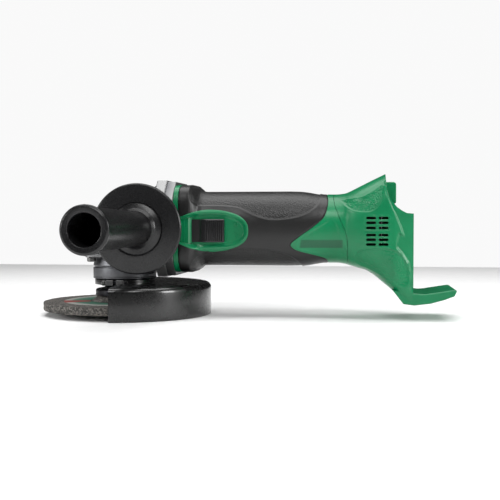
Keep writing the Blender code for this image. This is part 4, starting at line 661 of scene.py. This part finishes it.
def beyond(places, outline):
    """Signed distance in millimetres from side-view places to a closed outline, negative inside it."""
    nearest = np.full(len(places), 1e9)
    inside = np.zeros(len(places), bool)
    for (ax, az), (bx, bz) in zip(outline, outline[1:] + outline[:1]):
        span = np.array((bx - ax, bz - az))
        from_a = places - np.array((ax, az))
        share = np.clip(from_a @ span / max(span @ span, 1e-9), 0, 1)
        nearest = np.minimum(nearest, np.hypot(*(from_a - share[:, None] * span).T))
        crosses = ((az > places[:, 1]) != (bz > places[:, 1]))
        with np.errstate(divide="ignore", invalid="ignore"):
            at = ax + (places[:, 1] - az) * (bx - ax) / (bz - az)
        inside ^= crosses & (places[:, 0] < at)
    return np.where(inside, -nearest, nearest)


def curve(points, count=6):
    """A smooth line through side-view points."""
    line = []
    ends = [points[0]] + list(points) + [points[-1]]
    for a, b, c, d in zip(ends, ends[1:], ends[2:], ends[3:]):
        for k in range(count):
            t = k / count
            line.append(tuple(0.5 * (2 * q + (r - p) * t + (2 * p - 5 * q + 4 * r - s) * t * t
                                     + (3 * q - p - 3 * r + s) * t ** 3) for p, q, r, s in zip(a, b, c, d)))
    return line + [points[-1]]


def housing_solid(name, start, end, depth, relief=None, grid=0.65):
    """The housing's shape between two sections as a solid, its surface sunk by depth plus relief(x, z)."""
    xs = np.linspace(start, end, int((end - start) / grid) + 2)
    angles = np.linspace(0, 2 * math.pi, int(200 / grid), endpoint=False) + 0.003
    width, top, bottom, power = section_at(xs[:, None])
    c, s = np.abs(np.cos(angles)), np.abs(np.sin(angles))

    def surface(sunk):
        wide, high = width - sunk, (top - bottom) / 2 - sunk
        reach = ((c / wide) ** power + (s / high) ** power) ** (-1 / power)
        return reach * np.cos(angles), (top + bottom) / 2 + reach * np.sin(angles)

    y, z = surface(depth)
    if relief:
        at = np.stack([np.broadcast_to(xs[:, None], z.shape).ravel(), z.ravel()], 1)
        y, z = surface(depth + relief(at, y.ravel()).reshape(z.shape))
    points = np.stack([np.broadcast_to(xs[:, None], z.shape), y, z + axis_z], 2).reshape(-1, 3) * mm
    count = len(angles)
    faces = []
    for row in range(0, (len(xs) - 1) * count, count):
        for k in range(count):
            j = (k + 1) % count
            faces.append((row + k, row + count + k, row + count + j, row + j))
    faces += [tuple(range(count)), tuple(range(len(points) - 1, len(points) - count - 1, -1))]
    mesh = bpy.data.meshes.new(name)
    mesh.from_pydata(points.tolist(), [], faces)
    bm = bmesh.new()
    bm.from_mesh(mesh)
    return outward_mesh(name, bm)


def side_prism(name, outline, low=-60.0, high=60.0):
    """A side-view outline in millimetres from the motor's axis, extruded across the tool."""
    return prism_mesh(name, [(x, axis_z + z) for x, z in outline], low, high, "Y")


seam = [(163.2 + 10.7 * t * t * (3 - 2 * t), 25 - 37 * t) for t in (k / 24 for k in range(25))]
grip_line = curve([(158.2, 24.4), (159.2, 20.9), (158.9, 16), (156.8, 9), (150.9, 3),
                   (139.4, -5.4), (132.6, -11), (133.6, -14), (139.1, -16.7), (150.6, -19.7),
                   (157.5, -22.1), (159, -25.4)])
switch_z = -1.45


def mirrored(upper):
    """An upper line from the front to the rear, and its mirror image below the switch back to the front."""
    return [(x, switch_z + z) for x, z in upper] + [(x, switch_z - z) for x, z in reversed(upper[:-1])]


def surround_line(offset):
    """The switch surround's outer edge, from its upper front end round the rear to its lower front end."""
    upper = []
    for k in range(20):
        t = k / 20
        upper.append((47.5 + 24.5 * t, 8.4 + 7.3 * math.sin(math.pi / 2 * t) + offset))
    for k in range(25):
        angle = math.pi / 2 * (1 - k / 24)
        upper.append((72 + (29.4 + offset) * math.cos(angle), (15.7 + offset) * math.sin(angle) ** 0.8))
    return mirrored(upper)


wedge_panel = curve([(161.8, 7.2), (150.5, -0.4), (139.4, -6.7), (136.9, -10.5), (138.4, -14.1),
                     (146, -16.6), (157, -18.2), (171.0, -19.8), (170.6, -14), (169.1, -8.1),
                     (166.6, 1), (164.2, 6.4)], 4)
label_band = [(140.0, -8.1), (170.3, -8.1), (170.3, -14.0), (139.0, -14.0)]


def wedge_relief(at, across):
    """The wedge's inner panel is sunk a little, with a soft step round it."""
    return 0.35 * np.clip(-beyond(at, wedge_panel) / 0.7 + 0.3, 0, 1)


over_zone = [(49.6, 40)] + [(grip_line[0][0], 40)] + grip_line + [(grip_line[-1][0], -40), (49.6, -40)]
gap_zone = [(49.4, 41)] + [(grip_line[0][0] + 0.25, 41)] + [(x + 0.25, z) for x, z in grip_line]
gap_zone += [(grip_line[-1][0] + 0.25, -41), (49.4, -41)]
green_nylon = glass_filled_nylon("green_glass_filled_nylon", "#006e43", "#007b4c", 0.31)


def marked(mesh, name, value):
    """Stores a number per vertex from its side-view place, for a material to read."""
    co = np.empty(len(mesh.vertices) * 3)
    mesh.vertices.foreach_get("co", co)
    co = co.reshape(-1, 3) / mm
    layer = mesh.attributes.new(name, "FLOAT", "POINT")
    layer.data.foreach_set("value", value(np.stack([co[:, 0], co[:, 2] - axis_z], 1), co[:, 1]))
    return mesh


def printed_band(finish):
    """A darker green band pad-printed on the wedge, where the mark reads the stored number."""
    banded = finish.copy()
    banded.name = "green_nylon_with_printed_band"
    tree = banded.node_tree
    shader = tree.nodes["Principled BSDF"]
    plain = shader.inputs["Base Color"].links[0].from_socket
    mark = node(tree, "Attribute", {"attribute_name": "band"})
    mixed = node(tree, "Mix", {"data_type": "RGBA", 7: linear("#025233")},
                 {0: mark.outputs["Fac"], 6: plain})
    tree.links.new(mixed.outputs[2], shader.inputs["Base Color"])
    return banded


def half_of(side):
    """The span across the tool that one half takes up, short of the centre line by half the seam."""
    return sorted((side * 0.12, side * 60))


banded_nylon = printed_band(green_nylon)
for label_name, side in (("left", -1), ("right", 1)):
    shell = housing_solid(f"motor_housing_{label_name}", 46.0, 178, 0, wedge_relief)
    hollow = housing_solid("motor_hollow", 36.5, 179, 3.9, grid=1.2)
    core = housing_solid("grip_core", 38, 178.5, 1.8, grid=1.0)
    sleeve = shaped(side_prism("grip_zone", gap_zone), ("DIFFERENCE", core))
    if side < 0:
        sleeve = shaped(sleeve, ("UNION", side_prism("surround_hole", surround_line(-0.4), -60, -24.6)))
    half_side = half_of(side)
    cut_line = [(38, 45), (seam[0][0] - 0.12, 45)] + [(x - 0.12, z) for x, z in seam]
    cut_line += [(seam[-1][0] - 0.12, -45), (38, -45)]
    shell = shaped(shell, ("DIFFERENCE", hollow), ("DIFFERENCE", sleeve),
                   ("INTERSECT", side_prism("half", cut_line, *half_side)))
    shell = marked(shell, "band", lambda at, across: np.clip(0.5 - beyond(at, label_band) / 0.5, 0, 1))
    piece(f"motor_housing_half_{label_name}", shell, banded_nylon, "frame", "green_nylon",
          f"motor_housing_{label_name}")


# ---------------------------------------------------------------- soft grip
# Black thermoplastic elastomer moulded over the nylon in a second shot, 1.5 mm thick. Stippled panels above and
# below are sunk behind a rounded step; the bands between them are smooth and catch the light.
upper_panel = curve([(57.7, 23.5), (59.6, 19.6), (63.2, 17.6), (70, 17.3), (80.4, 17.3),
                     (92.1, 16.1), (99.9, 13.1), (107.6, 9.7), (119, 7.0), (134, 8.5), (145, 12.3),
                     (151.4, 17.5), (152.9, 23.5)], 5)
upper_panel += [(152.5, 45), (57.5, 45)]
lower_panel = curve([(57.0, -31), (60, -24), (66, -19), (76, -16.6), (90, -15.4), (106, -15.2),
                     (118, -16.2), (128, -18.6), (135, -22.4),
                     (139.5, -27.5)], 5) + [(139.5, -45), (57, -45)]


def grip_relief(at, across):
    """Sunk panels, a step behind the collar and a rounded rear edge."""
    panel = np.minimum(beyond(at, upper_panel), beyond(at, lower_panel))
    sunk = 0.55 * np.clip(0.5 - panel / 0.8, 0, 1) ** 1.5 - 0.12 * np.exp(-((panel - 0.9) / 0.7) ** 2)
    rear = -beyond(at, over_zone)
    edge = 0.5 * np.clip(1 - rear / 0.8, 0, 1) ** 2
    return sunk + edge


def elastomer():
    """Thermoplastic elastomer: matt and a little waxy, with 1 mm stipple where the stored number says so."""
    finish, tree, shader, places = new_finish("black_elastomer", {"IOR": 1.5, "Specular IOR Level": 0.5})
    stipple = node(tree, "TexVoronoi", {"feature": "SMOOTH_F1", "Scale": 1 / (1.0 * mm)}, {"Vector": places})
    wear = noise(tree, places, 18, 4.0)
    mark = node(tree, "Attribute", {"attribute_name": "stipple"})
    tinted(tree, shader, wear, (0.3, "#0e0e0e"), (0.7, "#151515"))
    roughened(tree, shader, wear, 0.34, 0.46)
    bumps = node(tree, "Math", {"operation": "MULTIPLY"},
                 {0: stipple.outputs["Distance"], 1: mark.outputs["Fac"]})
    height = node(tree, "Math", {"operation": "MULTIPLY_ADD", 1: 0.12},
                  {0: noise(tree, places, 0.5, 2.0), 2: bumps.outputs[0]})
    raised(tree, shader, height.outputs[0], 0.8, 0.35)
    return finish


rubber = elastomer()
for label_name, side in (("left", -1), ("right", 1)):
    grip = housing_solid(f"soft_grip_{label_name}", 48, 162, 0, grip_relief)
    core = housing_solid("grip_inside", 47, 163, 1.5, grid=1.0)
    half_side = half_of(side)
    grip = shaped(grip, ("DIFFERENCE", core),
                  ("INTERSECT", side_prism("grip_edge", over_zone, *half_side)))
    if side < 0:
        grip = shaped(grip, ("DIFFERENCE", side_prism("surround_gap", surround_line(-0.5), -60, 0)))
    else:
        heads = [rod(f"grip_screw_hole_{k}", 3.8, 2, 40, 32, "Y", (154, 0, axis_z + z))
                 for k, z in enumerate((13.5, -13.5))]
        grip = shaped(grip, *(("DIFFERENCE", head) for head in heads))
    grip = marked(grip, "stipple", lambda at, across: np.clip(
        0.5 - np.minimum(beyond(at, upper_panel), beyond(at, lower_panel)) / 0.8, 0, 1))
    piece(f"soft_grip_{label_name}", grip, rubber, "frame", "elastomer", f"overmold_{label_name}")


# ---------------------------------------------------------------- switch surround and recess
# The bare nylon rim round the slide switch: a raised rounded bead that rolls down to a flat recess floor, with
# the on and off marks raised on the floor. At the front it runs out under the side handle's flange.
def skin_reach(x, z):
    """Half width of the bare housing at side-view places, in millimetres."""
    width, top, bottom, power = section_at(x)
    level = abs(z - (top + bottom) / 2) / ((top - bottom) / 2)
    return width * max(0.0, 1 - level ** power) ** (1 / power)


outer_rim = surround_line(0)
inner_rim = []
for k in range(20):
    t = k / 20
    inner_rim.append((47.5 + 28.5 * t, 7.4 + 2.7 * min(1, 2.2 * t) ** 0.8))
for k in range(25):
    angle = math.pi / 2 * (1 - k / 24)
    inner_rim.append((76 + 21.1 * math.cos(angle), 9.7 * math.sin(angle) ** 0.85))
inner_rim = mirrored(inner_rim)
floor_y = 26.3


def recess_floor(x):
    """The channel steps down from the collar to the recess floor."""
    return floor_y + 4.3 * np.clip((60.0 - x) / 3.0, 0, 1)


rings = []
for (ox, oz), (ix, iz) in zip(outer_rim, inner_rim):
    crown = skin_reach(ox, oz)
    low = recess_floor(ix)
    bead = [(0.0, crown - 2.2), (0.0, crown - 0.15), (0.04, crown + 0.25), (0.12, crown + 0.5)]
    for share in (0.24, 0.36, 0.48, 0.6, 0.72, 0.84, 0.93):
        here = skin_reach(ox + (ix - ox) * share, oz + (iz - oz) * share)
        roll = 0.5 + 0.5 * math.cos(math.pi * min(1, max(0, (share - 0.20) / 0.75)))
        bead.append((share, low + (here + 0.5 - low) * roll))
    bead += [(1.0, low - 0.1), (1.0, low - 2.0)]
    rings.append([((ox + (ix - ox) * share), -y, axis_z + (oz + (iz - oz) * share))
                  for share, y in bead])
rim = lofted_mesh("switch_surround", rings)
piece("switch_surround", rim, green_nylon, "frame", "green_nylon")
floor_line = [p for p in inner_rim if p[0] > 58.5]
floor_plate = side_prism("recess_floor", [(x, switch_z + (z - switch_z) * 1.02) for x, z in floor_line],
                         -floor_y, -24.9)
piece("recess_floor", floor_plate, green_nylon, "frame", "green_nylon")
channel = prism_mesh("switch_channel", [(x, y) for x, y in (
    (47.6, -28.9), (47.6, -30.6), (49.6, -30.6), (49.6, -30.1), (51.8, -30.1), (51.8, -29.7), (54.0, -29.7),
    (54.0, -29.3), (56.6, -29.3), (57.8, -28.3), (59.2, -26.3), (59.2, -24.9), (57.0, -24.9))],
    axis_z + (switch_z - 9.3), axis_z + (switch_z + 9.3))
piece("switch_channel", channel, green_nylon, "frame", "green_nylon", crease=20)
ring_mark = turned_mesh("off_mark", [
    (0.9, 26.7, 0.1), (1.5, 26.7, 0.1), (1.5, 26.2), (0.9, 26.2)], 48, "-Y",
    (91.8, 0, axis_z + 3.0))
piece("off_mark", ring_mark, green_nylon, "frame", "green_nylon")
bar_mark = brick("on_mark", (91.4, 92.1), (axis_z - 5.8, axis_z - 2.8),
                      -26.7, -26.2, "Y", 0.1)
piece("on_mark", bar_mark, green_nylon, "frame", "green_nylon")


# ---------------------------------------------------------------- slide switch
# A black nylon knob with a bevelled nose and moulded cross ribs slides forward over a thin rubber dust seal. It
# hooks onto a slide bar inside, which works the switch behind the motor.
seal_z, seal_half = axis_z + switch_z, 8.4
seal = prism_mesh("dust_seal", eased([
    (57.8, seal_z - seal_half, 0.8), (82.9, seal_z - seal_half, 1.5), (82.9, seal_z + seal_half, 1.5),
    (57.8, seal_z + seal_half, 0.8)]), -27.1, -26.25, "Y", 0.15)
piece("dust_seal", marked(seal, "stipple", lambda at, across: np.zeros(len(at))), rubber, "frame",
      "elastomer", "switch_seal")
nose_line = [(64.9, -27.5), (64.9, -28.0), (66.2, -29.3), (68.4, -29.9), (69.6, -30.45), (70.1, -30.5)]
rib_line = []
for k in range(9):
    start = 70.4 + 1.42 * k
    rib_line += [(start, -29.6), (start + 0.3, -29.6), (start + 0.55, -30.35), (start + 1.15, -30.4)]
knob_line = nose_line + rib_line + [(83.35, -30.2), (83.5, -29.8), (83.5, -27.5)]
layers = []
for z, drop, tuck in ((-8.6, 0.9, 0.5), (-8.5, 0.5, 0.22), (-8.15, 0.15, 0.05), (-7.7, 0.0, 0.0), (-7.6, 0.0, 0.0),
                      (7.6, 0.0, 0.0), (7.7, 0.0, 0.0), (8.15, 0.15, 0.05), (8.5, 0.5, 0.22), (8.6, 0.9, 0.5)):
    smooth_end = abs(z) > 7.65
    ring = []
    for x, y in knob_line:
        top = max(y, -30.4) if not smooth_end or x < 70.2 or x > 83.2 else -30.35
        ring.append((x + tuck * (74.2 - x) / 9.3, (min(top + drop, -27.5)),
                     axis_z + (switch_z + z)))
    layers.append(ring)
knob = lofted_mesh("slide_knob", layers)
knob_nylon = glass_filled_nylon("black_nylon_knob", "#1d1d1e", "#272728", 0.28, 0.3)
piece("slide_knob", knob, knob_nylon, "slider", "black_nylon", "slide_knob", crease=25)


# ---------------------------------------------------------------- rear housing
# Two green nylon halves that flare out to the battery seat, with a sunk stippled thumb patch above and below, two
# columns of rimmed vent slots and a stiffening web. A step leads down to the end flange, over the battery's foot.
upper_patch = curve([(169.6, 20.6), (172.1, 17.6), (177, 14.1), (184, 12.7), (190.6, 13.0),
                     (195.2, 16.2), (197.4, 19.9), (198.6, 23.6), (199.4, 28.6), (198, 30.2),
                     (194.6, 27.5), (190.3, 25), (183.9, 21.8), (176.1, 21)], 5)
lower_patch = curve([(180.4, -23.7), (180.3, -18.7), (182.6, -16.3), (186.5, -15.3),
                     (196.4, -14.3), (205.2, -15), (211.8, -18.4), (216.2, -25.6), (217.6, -34.5),
                     (215.6, -40.6), (209.5, -40), (200, -33.6), (190, -28.6), (183.5, -26.2)], 5)
vent_rows = (7.8, 4.4, 0.7, -4.4, -7.8, -11.2)
vent_columns = (190.7, 199.5)


end_flange = [(200.0, 34), (201.0, 27.8), (204.7, 17.6), (208.2, 9.9), (211.8, 1.4), (213.9, -5.0),
              (210.6, -3.2), (209.3, -7.9), (209.1, -13.5), (212.6, -17.6), (217.2, -25.0),
              (219.0, -34.5), (218.5, -44), (240, -44), (240, 34)]


def rear_relief(at, across):
    """Sunk thumb patches, the step down to the end flange, and raised rims round the vents."""
    patch = np.minimum(beyond(at, upper_patch), beyond(at, lower_patch))
    sunk = 0.9 * np.clip(0.4 - patch / 1.4, 0, 1) - 0.18 * np.exp(-((patch - 1.0) / 0.6) ** 2)
    sunk = sunk + 1.1 * np.clip(0.5 - beyond(at, end_flange) / 0.9, 0, 1)
    for z in vent_rows:
        for x in vent_columns:
            far = np.hypot(np.maximum(np.abs(at[:, 0] - x) - 2.6, 0), at[:, 1] - z)
            sunk = sunk - 0.28 * np.exp(-((far - 1.45) / 0.45) ** 2)
    return sunk


def slot_outline(x, z, reach=3.5, half=0.95):
    """One vent slot with round ends."""
    ends = [(x + (reach - half) * s, z) for s in (1, -1)]
    line = [(ends[0][0] + half * math.cos(a), z + half * math.sin(a))
            for a in (math.pi * (k / 8 - 0.5) for k in range(9))]
    return line + [(ends[1][0] + half * math.cos(a), z + half * math.sin(a))
                   for a in (math.pi * (k / 8 + 0.5) for k in range(9))]


def stippled_nylon(finish):
    """Green nylon with a coarse 1.1 mm pebble grain where the stored number says so."""
    grained = finish.copy()
    grained.name = "green_nylon_with_pebble_grain"
    tree = grained.node_tree
    shader = tree.nodes["Principled BSDF"]
    before = shader.inputs["Normal"].links[0].from_node
    places = tree.nodes.new("ShaderNodeTexCoord").outputs["Object"]
    pebble = node(tree, "TexVoronoi", {"feature": "SMOOTH_F1", "Scale": 1 / (1.1 * mm)}, {"Vector": places})
    mark = node(tree, "Attribute", {"attribute_name": "stipple"})
    bumps = node(tree, "Math", {"operation": "MULTIPLY"},
                 {0: pebble.outputs["Distance"], 1: mark.outputs["Fac"]})
    lift = node(tree, "Bump", {"Strength": 0.9, "Distance": 0.4 * mm},
                {"Height": bumps.outputs[0], "Normal": before.outputs[0]})
    tree.links.new(lift.outputs[0], shader.inputs["Normal"])
    return grained


pebbled_nylon = stippled_nylon(green_nylon)
plate_x = 209.5
behind = [(270, 90), (201.0, 90), (201.1, 37.9), (201.5, 32.2), (202.6, 25), (205.4, 20),
          (209, 15.7), (212.5, 13.2), (216, 11.4), (221, 11), (221, -90), (270, -90)]
inside = [(150, 90), (198.8, 90), (198.8, 18), (206.8, 7.5), (206.8, -90), (150, -90)]
web = [(199, 16), (199, -31), (208, -36), (208, 6)]
foot = eased([(206, -44), (221, -46.3, 1.5), (229, -47.1, 20), (239.7, -45.3, 20), (250.2, -43.7),
              (252, -44.2, 1), (250, -48.3, 1.5), (243, -51, 12), (233, -53.8, 14),
              (221.5, -55.2, 4), (214, -54.2)])
for label_name, side in (("left", -1), ("right", 1)):
    half_side = half_of(side)
    shell = housing_solid(f"rear_housing_{label_name}", 160, 227, 0, rear_relief, 0.6)
    hollow = housing_solid("rear_hollow", 158, 227, 2.4, grid=1.2)
    hollow = shaped(hollow, ("INTERSECT", side_prism("rear_inside", inside)))
    channel = brick("battery_channel", (plate_x, 250), (-25.5, 25.5),
                         axis_z - 46.2, axis_z + 70)
    groove_side = sorted((side * 24.5, side * 28.1))
    groove = brick("rail_groove", (210, 213), (groove_side[0], groove_side[1]),
                        axis_z - 40, axis_z + 16)
    seam_line = [(x + 0.15, z) for x, z in seam]
    rear_half = [(seam_line[0][0], 70), (seam_line[0][0], 30), *seam_line, (seam_line[-1][0], -80), (260, -80),
                 (260, 70)]
    vents = [side_prism("vent", slot_outline(x, z), *sorted((side * 20, side * 60)))
             for z in vent_rows for x in vent_columns]
    tongue = prism_mesh("foot", [(x, axis_z + z) for x, z in foot], -28, 28, "Y", 0.6)
    latch = prism_mesh("latch_block", eased([
        (199, 83.6), (209, 83.6, 1.2), (209, 99.4, 2.2), (199, 99.4)]), -15, 15, "Y", 0.6)
    stiffener = side_prism("stiffening_web", web, -2.5, 2.5)
    cuts = [hollow, side_prism("rear_edge", behind), channel, groove, *vents]
    steps = [("DIFFERENCE", cut) for cut in cuts]
    steps += [("UNION", added) for added in (tongue, latch, stiffener)]
    steps.append(("INTERSECT", side_prism("rear_half", rear_half, *half_side)))
    if side > 0:
        steps += [("DIFFERENCE", rod(f"rear_screw_hole_{k}", 3.3, 8, 40, 32, "Y",
            (x, 0, axis_z + z))) for k, (x, z) in enumerate(((188, 21.5), (203.5, -34.5)))]
    shell = shaped(shell, *steps)
    shell = marked(shell, "stipple", lambda at, across: np.where(np.abs(across) > 12, np.clip(
        0.3 - np.minimum(beyond(at, upper_patch), beyond(at, lower_patch)) / 0.8, 0, 1), 0))
    piece(f"rear_housing_half_{label_name}", shell, pebbled_nylon, "frame", "green_nylon",
          f"rear_housing_{label_name}")


# ---------------------------------------------------------------- battery terminals
# A black nylon block on the battery plate that guides two stamped brass blades, tin-plated where they slide.
block = prism_mesh("terminal_block", eased([
    (-18.5, 64, 0.6), (18.5, 64, 0.6), (18.5, 77, 1.2), (-18.5, 77, 1.2)]), 209.8, 215, "X", 0.4)
blade_reach = 14.5
slots = [brick(f"block_slot_{k}", (y - 1.2, y + 1.2), (63, 74), 213, 216, "X")
         for k, y in enumerate((-blade_reach, blade_reach))]
block = shaped(block, *(("DIFFERENCE", slot) for slot in slots))
piece("terminal_block_moulding", block, black_nylon, "frame", "black_nylon", "terminal_block")
plated_brass = turned_steel("tin_plated_brass", "#b9a77c", 0.28)
for k, y in enumerate((-blade_reach, blade_reach)):
    blade = prism_mesh(f"terminal_blade_{k + 1}", eased([
        (210.4, 52.7), (214.4, 52.7, 1.0), (214.4, 63.7), (210.4, 63.7)]), (y - 0.5), (y + 0.5), "Y",
        0.15)
    piece(f"terminal_blade_{k + 1}", blade, plated_brass, "frame", "brass", f"terminal_{k + 1}")


# ---------------------------------------------------------------- inner parts
# Gears, shafts and bearings of hardened steel, a laminated rotor with varnished copper coils, ferrite magnets,
# brass brush gear and black nylon fan, slide bar and electronics boxes. They keep their CAD shapes.
def laminated_steel():
    """Stacked 0.5 mm electrical-steel laminations, blued, with a line between each pair."""
    finish, tree, shader, places = new_finish("laminated_electrical_steel", {"Metallic": 0.9, "Roughness": 0.45})
    stack = node(tree, "TexWave", {"bands_direction": "X", "Scale": 1 / (3.2 * mm)}, {"Vector": places})
    tinted(tree, shader, stack.outputs["Fac"], (0.1, "#1d1d22"), (0.5, "#4a4a50"))
    raised(tree, shader, stack.outputs["Fac"], 0.4, 0.05)
    return finish


def wound_copper():
    """Varnished 0.6 mm copper wire laid in turns."""
    finish, tree, shader, places = new_finish("varnished_copper_wire", {"Metallic": 1.0, "Coat Weight": 0.4})
    wire = node(tree, "TexWave", {"bands_direction": "Y", "Scale": 1 / (3.8 * mm), "Distortion": 1.5},
                {"Vector": places})
    tinted(tree, shader, wire.outputs["Fac"], (0.0, "#5e2c14"), (0.7, "#c0703a"))
    roughened(tree, shader, wire.outputs["Fac"], 0.45, 0.25)
    raised(tree, shader, wire.outputs["Fac"], 0.6, 0.2)
    return finish


def sintered(name, dark, light, grain):
    """A pressed and sintered body: dull, with a fine speckle of grain millimetres."""
    finish, tree, shader, places = new_finish(name, {"Roughness": 0.7})
    speck = noise(tree, places, grain, 3.0)
    tinted(tree, shader, speck, (0.3, dark), (0.7, light))
    raised(tree, shader, speck, 0.3, 0.08)
    return finish


hardened_steel = turned_steel("hardened_steel", "#8f8f90", 0.26)
laminations, windings = laminated_steel(), wound_copper()
ferrite = sintered("sintered_ferrite", "#2c2c2f", "#3c3c40", 0.6)
carbon = sintered("pressed_carbon", "#161616", "#232323", 0.4)
inner_finishes = {
    hardened_steel: ("ring_gear", "pinion_gear", "motor_shaft", "spindle_lower_bearing", "spindle_upper_bearing",
                     "front_bearing", "rear_bearing", "side_handle_stud", "lock_pin"),
    black_oxide: ("motor_yoke", "housing_screw_1", "housing_screw_2", "housing_screw_3", "housing_screw_4"),
    laminations: ("rotor_core",),
    windings: ("winding_front", "winding_rear", "commutator"),
    ferrite: ("magnet_upper", "magnet_lower"),
    carbon: ("carbon_brush_upper", "carbon_brush_lower"),
    plated_brass: ("brush_holder_upper", "brush_holder_lower"),
    black_nylon: ("cooling_fan", "fan_baffle", "slide_bar", "switch_body", "controller"),
}
for finish, names in inner_finishes.items():
    for name in names:
        nodes[name].data.materials.clear()
        nodes[name].data.materials.append(finish)


# ---------------------------------------------------------------- floor, light and camera
# The tool stands on its guard's rim on a plain pale floor, under a broad overhead softbox, with a weak one high in
# front and one at each end. The world looks white behind the tool but lights it only faintly.
def plain_floor():
    """Matt pale paper."""
    finish, tree, shader, places = new_finish("pale_paper", {"Roughness": 0.9, "Specular IOR Level": 0.1})
    tinted(tree, shader, noise(tree, places, 12, 3.0), (0.3, "#f4f4f4"), (0.7, "#f8f8f8"))
    return finish


bm = bmesh.new()
floor_half, floor_z = 0.75, -1.6 * mm
bmesh.ops.create_grid(bm, x_segments=2, y_segments=2, size=floor_half)
bmesh.ops.translate(bm, vec=(0, 0, floor_z), verts=bm.verts)
floor_mesh = bpy.data.meshes.new("floor")
bm.to_mesh(floor_mesh)
bm.free()
floor_mesh.materials.append(plain_floor())
floor = bpy.data.objects.new("floor", floor_mesh)
bpy.context.scene.collection.objects.link(floor)

world = bpy.data.worlds.new("studio")
bpy.context.scene.world = world
bpy.context.scene.view_settings.view_transform = "Standard"
world.use_nodes = True
tree = world.node_tree
seen = node(tree, "LightPath")
wall = node(tree, "MapRange", {"To Min": 0.03, "To Max": 0.95}, {"Value": seen.outputs["Is Camera Ray"]})
tree.links.new(wall.outputs[0], tree.nodes["Background"].inputs["Strength"])
tree.nodes["Background"].inputs["Color"].default_value = (1, 1, 1, 1)


def softbox(name, at, aim, size, power):
    """A rectangular area light at a place in metres, turned to a point."""
    lamp = bpy.data.lights.new(name, "AREA")
    lamp.shape = "RECTANGLE"
    lamp.size, lamp.size_y = size
    lamp.energy = power
    made = bpy.data.objects.new(name, lamp)
    made.location = at
    made.rotation_euler = (Vector(aim) - Vector(at)).to_track_quat("-Z", "Y").to_euler()
    bpy.context.scene.collection.objects.link(made)


softbox("ceiling", (0.10, 0.10, 0.95), (0.10, 0.05, 0), (1.3, 0.9), 12)
softbox("upper_front", (0.16, -0.62, 0.62), (0.10, 0, 0.06), (0.55, 0.22), 2.8)
softbox("right_side", (0.98, -0.30, 0.32), (0.10, 0, 0.05), (0.30, 0.40), 5.0)
softbox("left_side", (-0.66, -0.46, 0.26), (0.06, 0, 0.05), (0.22, 0.34), 3.6)

middle = Vector((98.9 * mm, 0, 48.5 * mm))
turn, rise, distance = math.radians(7.5), math.radians(1.8), 0.650
lens = bpy.data.cameras.new("camera")
lens.lens = 60.84
lens.sensor_width = 36
lens.clip_start = 0.01
camera = bpy.data.objects.new("camera", lens)
towards = Vector((math.sin(turn) * math.cos(rise), -math.cos(turn) * math.cos(rise), math.sin(rise)))
camera.location = middle + distance * towards
camera.rotation_euler = (middle - camera.location).to_track_quat("-Z", "Y").to_euler()
bpy.context.scene.collection.objects.link(camera)
bpy.context.scene.camera = camera
